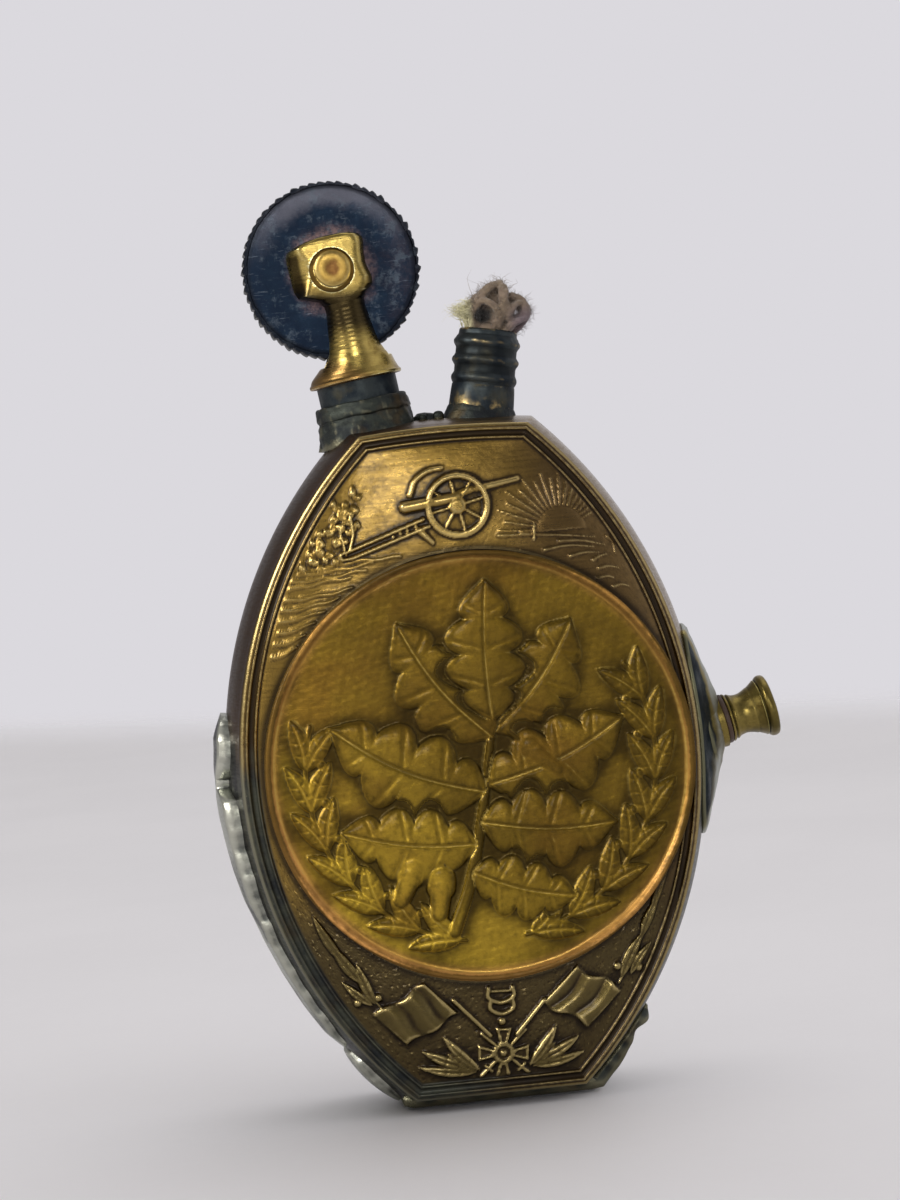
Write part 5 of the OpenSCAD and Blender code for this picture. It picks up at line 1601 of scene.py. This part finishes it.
def plate_finish():
    """The patch plate: green black in front, pale where it bends over the seam as a painted reflection, a brassy line
    between.
    """
    nodes = Finish("filler plate")
    solder = old_solder(nodes, Skin=(34, 44, 48), Deep=(20, 28, 34), Stain=(46, 48, 38), Bright=(120, 118, 92))
    where = nodes.place()
    x, y, z = nodes.split(where)
    drift = nodes.noise(where, 3, 4)
    depth = nodes.madd(drift, 1.6, nodes.math("ABSOLUTE", y))
    line = nodes.times(nodes.ramp(depth, 3.4, 3.8), nodes.ramp(depth, 4.5, 4.1), nodes.ramp(z, 27.0, 31.0, 0.1, 0.4))
    # The pale colour where the plate bends round the side is a painted reflection of the bright room.
    shade = nodes.coats(solder["Color"], (nodes.ramp(depth, 4.2, 3.2), (166, 168, 160)), (line, (186, 164, 84)),
                        (nodes.ragged(drift, 1.2, x, 21.5, 22.3, 0.0, 0.8), (92, 84, 54)))
    return nodes.dress(shade, solder["Roughness"], solder["Height"], strength=0.5, distance=0.08)


def tube_finish(name):
    """Darkened brass with a blue grey skin and brass showing in patches of what stands out, lightened there as a
    painted glint.
    """
    nodes = Finish(name)
    wear = nodes.layer("wear")
    solder = old_solder(nodes, Skin=(56, 61, 62), Deep=(34, 40, 46), Stain=(80, 74, 54), Bright=(128, 130, 118),
                        Wear=0.0)
    patchy = nodes.ramp(nodes.noise(nodes.place(), 1.7, 4), 0.46, 0.62)
    # raised: brass worn through on the crests, made light enough to stand as a painted glint.
    raised = nodes.times(nodes.ramp(wear, 0.03, 0.07), patchy)
    shade = nodes.coats(solder["Color"], (nodes.ramp(wear, 0.0, -0.05, 0.0, 0.6), (30, 32, 32)),
                        (nodes.times(raised, 0.8), (176, 152, 100)))
    return nodes.dress(shade, nodes.madd(raised, -0.16, solder["Roughness"]), solder["Height"], strength=0.4)


def fork_finish(colours):
    """Turned brass, bright on its edges, with brown patina; the scoop in its filed side is painted dark, partly as
    oxide and partly as painted shade.
    """
    nodes = Finish("fork brass")
    where = nodes.place()
    x, _, z = nodes.split(where)
    metal = aged_metal(nodes, Metal=colours.gold, Patina=(86, 64, 30), Rubbed=(236, 228, 176), Dirt=0.9, Rub=0.8,
                       Mottle=0.6, Gloss=0.22)
    neck = nodes.times(nodes.ramp(z, 63.5, 65.5), nodes.ramp(z, 69.0, 67.4))
    # The scoop layer is painted near black brown, partly as oxide and partly as painted shade.
    shade = nodes.coats(metal["Color"], (nodes.ramp(nodes.noise(where, 1.1, 5), 0.52, 0.72, 0.0, 0.6), (104, 78, 38)),
                        (nodes.ragged(x, 0.5, z, 58.9, 57.6, 0.0, 0.55), (140, 102, 62)), (neck, (58, 49, 30)),
                        (nodes.times(nodes.layer("scoop"), 0.9), (38, 30, 18)))
    rings = nodes.noise(nodes.place(turn=(0, math.radians(7.9), 0), scale=(0.1, 0.1, 3)), 0.4, 2)
    height = nodes.madd(rings, 0.6, metal["Height"])
    return nodes.dress(shade, metal["Roughness"], height, strength=0.25, distance=0.04)


def screw_finish():
    """The screw's head: brown gold, with rust worn through in its middle."""
    nodes = Finish("axle screw")
    metal = aged_metal(nodes, Metal=(160, 132, 68), Patina=(88, 64, 34), Rubbed=(214, 188, 118), Dirt=0.9, Rub=0.6,
                       Mottle=0.6, Gloss=0.32)
    x, _, z = nodes.split(nodes.place(centre=STRIKER.spot(AXLE_HEIGHT)))
    rust = nodes.ragged(nodes.noise(nodes.place(), 0.7, 5), 1.1, nodes.reach(x, z), 1.45, 0.9, 0.0, 0.8)
    shade = nodes.mix(rust, metal["Color"], (110, 74, 44))
    return nodes.dress(shade, metal["Roughness"], metal["Height"])


def wheel_finish(striker, colours):
    """Blue black steel: mottled, scratched, rusty round the screw and to the right, with light tips that are worn
    bright and painted as glints.
    """
    nodes = Finish("striking wheel")
    centre = STRIKER.spot(AXLE_HEIGHT)
    where = nodes.place(centre=centre)
    x, _, z = nodes.split(where)
    away = nodes.reach(x, z)
    broad, fine = nodes.noise(where, 1.8, 6, 0.65), nodes.noise(where, 0.35, 6, 0.7)
    streak = nodes.noise(nodes.place(centre=centre, turn=(0, 0.5, 0), scale=(1, 1, 6)), 1.2, 4, 0.6)
    cloud = nodes.noise(nodes.place(centre=(4, 9, 1)), 1.1, 6, 0.7)
    drifted = nodes.madd(broad, 2.4, away)
    band = nodes.times(nodes.ramp(drifted, 6.0, 7.4), nodes.ramp(drifted, 9.0, 7.8))
    side = nodes.times(nodes.ragged(broad, 6.0, x, 6.5, 9.5), 0.1)
    rust = nodes.math("MAXIMUM", nodes.ramp(drifted, 5.4, 3.8, 0.0, 0.85), side)
    root = (striker.wheel / 2 - striker.tooth) / MM
    # tips: light grey on the teeth and in flecks, worn steel that is also a painted glint.
    tips = nodes.times(nodes.ramp(away, root + 0.12, root + 0.24), nodes.ramp(fine, 0.5, 0.62, 0.1, 0.9))
    tips = nodes.math("MAXIMUM", tips, nodes.ramp(fine, 0.68, 0.78, 0.0, 0.35))
    shade = nodes.coats(
        colours.blueing, (nodes.ramp(broad, 0.38, 0.62), (14, 28, 46)),
        (nodes.times(band, nodes.ragged(broad, 5.0, z, 3.0, 9.0, 0.0, 0.55)), (106, 106, 116)),
        (nodes.times(rust, nodes.ramp(fine, 0.35, 0.6, 0.25, 1.0)), colours.rust),
        (nodes.ramp(streak, 0.6, 0.74, 0.0, 0.4), (96, 106, 118)),
        (nodes.ramp(cloud, 0.52, 0.66, 0.0, 0.45), (80, 90, 100)),
        (nodes.ramp(away, root - 0.7, root - 0.1, 0.0, 0.75), (16, 18, 24)), (tips, (150, 150, 144)))
    rough = nodes.ramp(broad, 0.3, 0.7, 0.36, 0.55)
    return nodes.dress(shade, rough, nodes.madd(streak, 0.6, fine), metal=0.85, strength=0.5)


def knob_finish():
    """Olive turned brass, green black in its grooves."""
    nodes = Finish("knob brass")
    metal = aged_metal(nodes, Metal=(128, 112, 60), Patina=(34, 34, 22), Rubbed=(214, 204, 130), Dirt=0.95, Rub=0.8,
                       Mottle=0.6, Gloss=0.26)
    return nodes.dress(*metal)


def cotton_finish(colours):
    """Scorched cotton: tan, yellowish on the loose wisp, purple brown and black where it burnt, and dark in its
    creases as painted shade.
    """
    nodes = Finish("wick cotton")
    where = nodes.place(centre=WICK.spot(9))
    x, _, z = nodes.split(where)
    broad, fine = nodes.noise(where, 1.2, 5, 0.6), nodes.noise(where, 0.22, 6, 0.7)
    left = nodes.ramp(nodes.math("ADD", x, nodes.times(broad, 0.8)), -1.1, -2.0)
    low_right = nodes.times(nodes.ramp(x, 0.6, 2.2), nodes.ramp(z, 0.4, -1.2, 0.0, 0.8))
    # Painted shade: the creases between the strands are painted dark brown.
    hollow = nodes.ramp(nodes.layer("wear"), 0.0, -0.06, 0.0, 0.75)
    burnt = nodes.place(centre=tuple(WICK.origin + WICK.up * 8.3 + (-0.75, -1.6, 0)), scale=(1, 0.5, 1.1))
    gap = nodes.add("ShaderNodeVectorMath", burnt, operation="LENGTH").outputs["Value"]
    shade = nodes.coats(colours.cotton, (nodes.ramp(broad, 0.35, 0.65), (104, 88, 74)), (left, (206, 200, 160)),
                        (low_right, (96, 82, 90)), (hollow, (52, 42, 38)),
                        (nodes.ragged(broad, 0.7, gap, 1.35, 0.85, 0.0, 0.95), (20, 20, 20)))
    rough = nodes.ramp(fine, 0.3, 0.7, 0.8, 0.95)
    return nodes.dress(shade, rough, fine, metal=0.0, strength=0.8, more={"Sheen Weight": 0.2})


def leather_finish():
    """Dark oiled leather with fine grain."""
    nodes = Finish("gasket leather")
    where = nodes.place()
    grain = nodes.first("ShaderNodeTexVoronoi", where, inputs={"Scale": 5.0})
    broad = nodes.noise(where, 1.2, 4)
    shade = nodes.mix(broad, (70, 46, 28), (44, 30, 20))
    return nodes.dress(shade, nodes.ramp(broad, 0.3, 0.7, 0.5, 0.7), grain, metal=0.0)


def grained(name, patches, grain, one, other, rough, metal, strength):
    """A plain finish of one colour with patches of another, and a fine grain."""
    nodes = Finish(name)
    where = nodes.place()
    broad, fine = nodes.noise(where, *patches), nodes.noise(where, *grain)
    shade = nodes.mix(nodes.ramp(broad, 0.4, 0.7), one, other)
    return nodes.dress(shade, nodes.ramp(fine, 0.3, 0.7, *rough), fine, metal=metal, strength=strength)


# The stage

def build_stage(stage):
    scene = bpy.context.scene
    edge, near = np.array([0.717, -0.697, 0]), np.array([-0.697, -0.717, 0])
    far = np.array([28.0, 508.0, 0])
    ring = [far - 2500 * edge, far + 2500 * edge, far + 2500 * edge + 3500 * near, far - 2500 * edge + 3500 * near]
    slab = skin(np.array([ring, np.array(ring) - (0, 0, 8)]))
    nodes = Finish("table")
    where = nodes.place(centre=tuple(far))
    grain, broad = nodes.noise(where, 1.5, 5, 0.6), nodes.noise(where, 60, 3)
    x, y, _ = nodes.split(where)
    in_from_edge = nodes.math("ADD", nodes.times(x, near[0]), nodes.times(y, near[1]))
    shade = nodes.mix(nodes.ramp(broad, 0.3, 0.7), stage.floor, tuple(0.97 * c for c in stage.floor))
    mesh = mesh_of("table", [slab])
    mesh.materials.append(nodes.dress(shade, nodes.ramp(grain, 0.3, 0.7, 0.6, 0.7), grain, metal=0.0, strength=0.04,
                                      more={"Alpha": nodes.ramp(in_from_edge, 0.0, 110.0)}))
    floor = placed("table", mesh)

    world = bpy.data.worlds.new("studio")
    scene.world = world
    world.use_nodes = True
    nodes = Nodes(world.node_tree)
    world.node_tree.nodes.clear()
    heading = nodes.add("ShaderNodeTexCoord").outputs["Generated"]
    toward = nodes.add("ShaderNodeVectorMath", heading, (0.94, 0.34, 0.0), operation="DOT_PRODUCT").outputs["Value"]
    dim = tuple(stage.room * c for c in stage.backdrop)
    room = nodes.mix(nodes.ramp(toward, 0.0, 0.4), dim, stage.backdrop)
    lit, mirrored_room, seen = (nodes.first("ShaderNodeBackground", *values) for values in (
        ((1, 0.99, 0.98, 1), stage.ambient), (room, 1.0), ((*stage.backdrop, 1), 1.0)))
    path = nodes.add("ShaderNodeLightPath").outputs
    direct = nodes.math("MAXIMUM", path["Is Camera Ray"], path["Is Transmission Ray"])
    indirect = nodes.first("ShaderNodeMixShader", path["Is Glossy Ray"], lit, mirrored_room)
    nodes.add("ShaderNodeOutputWorld", nodes.first("ShaderNodeMixShader", direct, indirect, seen))

    for name, place, aim, size, power, tint in (
            ("key", (-460, -260, 300), (0, 0, 40), 240, stage.key, (1, 0.98, 0.95)),
            ("window", (-45, -535, 165), (0, 0, 45), 130, stage.window, (1, 0.98, 0.93)),
            ("fill", (450, -260, 160), (0, 0, 35), 300, 0.2 * stage.fill, (0.95, 0.97, 1)),
            ("top", (60, 60, 520), (0, 0, 30), 320, 0.6 * stage.fill, (1, 1, 1))):
        lamp = bpy.data.lights.new(name, "AREA")
        lamp.size, lamp.energy, lamp.color = size * MM, power, tint
        back = np.array(place, float) - aim
        back /= np.linalg.norm(back)
        placed(name, lamp).matrix_world = looking(back, np.array(place, float), 0)

    azimuth, elevation, distance = math.radians(-5), math.radians(2), 251.55
    back = np.array([math.sin(azimuth) * math.cos(elevation), -math.cos(azimuth) * math.cos(elevation),
                     math.sin(elevation)])
    camera = bpy.data.cameras.new("camera")
    camera.sensor_fit, camera.sensor_height, camera.lens = "VERTICAL", 36, 90
    camera.clip_start, camera.clip_end = 0.01, 20
    scene.camera = placed("camera", camera)
    scene.camera.matrix_world = looking(back, np.array([-0.18, 0, 41.77]) + back * distance, math.radians(-5.06))
    scene.view_settings.view_transform = "Standard"


def looking(back, place, roll):
    """The matrix of a camera or lamp at a place in millimetres, whose own Z points back."""
    right = np.cross((0, 0, 1), back)
    right /= np.linalg.norm(right)
    up = np.cross(back, right)
    turned_right = right * math.cos(roll) + up * math.sin(roll)
    turned_up = up * math.cos(roll) - right * math.sin(roll)
    matrix = np.eye(4)
    matrix[:3, 0], matrix[:3, 1], matrix[:3, 2], matrix[:3, 3] = turned_right, turned_up, back, place * MM
    return Matrix(matrix.tolist())


# Operators, panel and registration

def settings(*names):
    return [getattr(bpy.context.scene, "lighter_" + name) for name in names]


class LIGHTER_OT_case(bpy.types.Operator):
    """Press the two shells of the case with their ornament"""
    bl_idname = "lighter.case"
    bl_label = "Case"

    def execute(self, context):
        build_case(*settings("case", "medal", "colours"))
        return {"FINISHED"}


class LIGHTER_OT_medals(bpy.types.Operator):
    """Strike the two medals"""
    bl_idname = "lighter.medals"
    bl_label = "Medals"

    def execute(self, context):
        build_medals(*settings("medal", "colours"))
        return {"FINISHED"}


class LIGHTER_OT_strips(bpy.types.Operator):
    """Bend the strips over the seam and under the base"""
    bl_idname = "lighter.strips"
    bl_label = "Strips"

    def execute(self, context):
        build_strips(*settings("case", "strips", "colours"))
        return {"FINISHED"}


class LIGHTER_OT_solder(bpy.types.Operator):
    """Run the solder round the tubes and set the patch plate"""
    bl_idname = "lighter.solder"
    bl_label = "Solder and plate"

    def execute(self, context):
        build_solder(*settings("case", "strips", "colours"))
        return {"FINISHED"}


class LIGHTER_OT_striker(bpy.types.Operator):
    """Turn the fork, its screw and the toothed wheel"""
    bl_idname = "lighter.striker"
    bl_label = "Striker"

    def execute(self, context):
        build_striker(*settings("striker", "colours"))
        return {"FINISHED"}


class LIGHTER_OT_wick(bpy.types.Operator):
    """Make the wick tube and the frayed wick"""
    bl_idname = "lighter.wick"
    bl_label = "Wick and tube"

    def execute(self, context):
        build_wick_tube()
        build_wick(*settings("wick", "colours"))
        return {"FINISHED"}


class LIGHTER_OT_filler(bpy.types.Operator):
    """Turn the filler's knob and cut its washer"""
    bl_idname = "lighter.filler"
    bl_label = "Filler"

    def execute(self, context):
        build_filler()
        return {"FINISHED"}


class LIGHTER_OT_inside(bpy.types.Operator):
    """Fill the tank with cotton and finish the pieces inside"""
    bl_idname = "lighter.inside"
    bl_label = "Inside"

    def execute(self, context):
        build_inside()
        return {"FINISHED"}


class LIGHTER_OT_stage(bpy.types.Operator):
    """Set the table, the lamps and the camera"""
    bl_idname = "lighter.stage"
    bl_label = "Stage"

    def execute(self, context):
        build_stage(*settings("stage"))
        return {"FINISHED"}


class LIGHTER_PT_panel(bpy.types.Panel):
    """The settings and the steps of the trench lighter"""
    bl_idname = "LIGHTER_PT_panel"
    bl_label = "Trench lighter"
    bl_space_type = "VIEW_3D"
    bl_region_type = "UI"
    bl_category = "Trench lighter"

    def draw(self, context):
        for name, kind in SETTINGS.items():
            box = self.layout.box()
            box.label(text=kind.__doc__)
            for label in kind.__annotations__:
                box.prop(getattr(context.scene, name), label)
        for operator in OPERATORS:
            self.layout.operator(operator.bl_idname)


SETTINGS = {"lighter_case": CaseSettings, "lighter_medal": MedalSettings, "lighter_strips": StripSettings,
            "lighter_striker": StrikerSettings, "lighter_wick": WickSettings, "lighter_colours": ColourSettings,
            "lighter_stage": StageSettings}
OPERATORS = (LIGHTER_OT_case, LIGHTER_OT_medals, LIGHTER_OT_strips, LIGHTER_OT_solder, LIGHTER_OT_striker,
             LIGHTER_OT_wick, LIGHTER_OT_filler, LIGHTER_OT_inside, LIGHTER_OT_stage)


def register():
    for kind in (*SETTINGS.values(), *OPERATORS, LIGHTER_PT_panel):
        bpy.utils.register_class(kind)
    for name, kind in SETTINGS.items():
        setattr(bpy.types.Scene, name, PointerProperty(type=kind))


def unregister():
    for name in SETTINGS:
        delattr(bpy.types.Scene, name)
    for kind in reversed((*SETTINGS.values(), *OPERATORS, LIGHTER_PT_panel)):
        bpy.utils.unregister_class(kind)


def main():
    register()
    for step in ("case", "medals", "strips", "solder", "striker", "wick", "filler", "inside", "stage"):
        getattr(bpy.ops.lighter, step)()


if __name__ == "__main__":
    main()
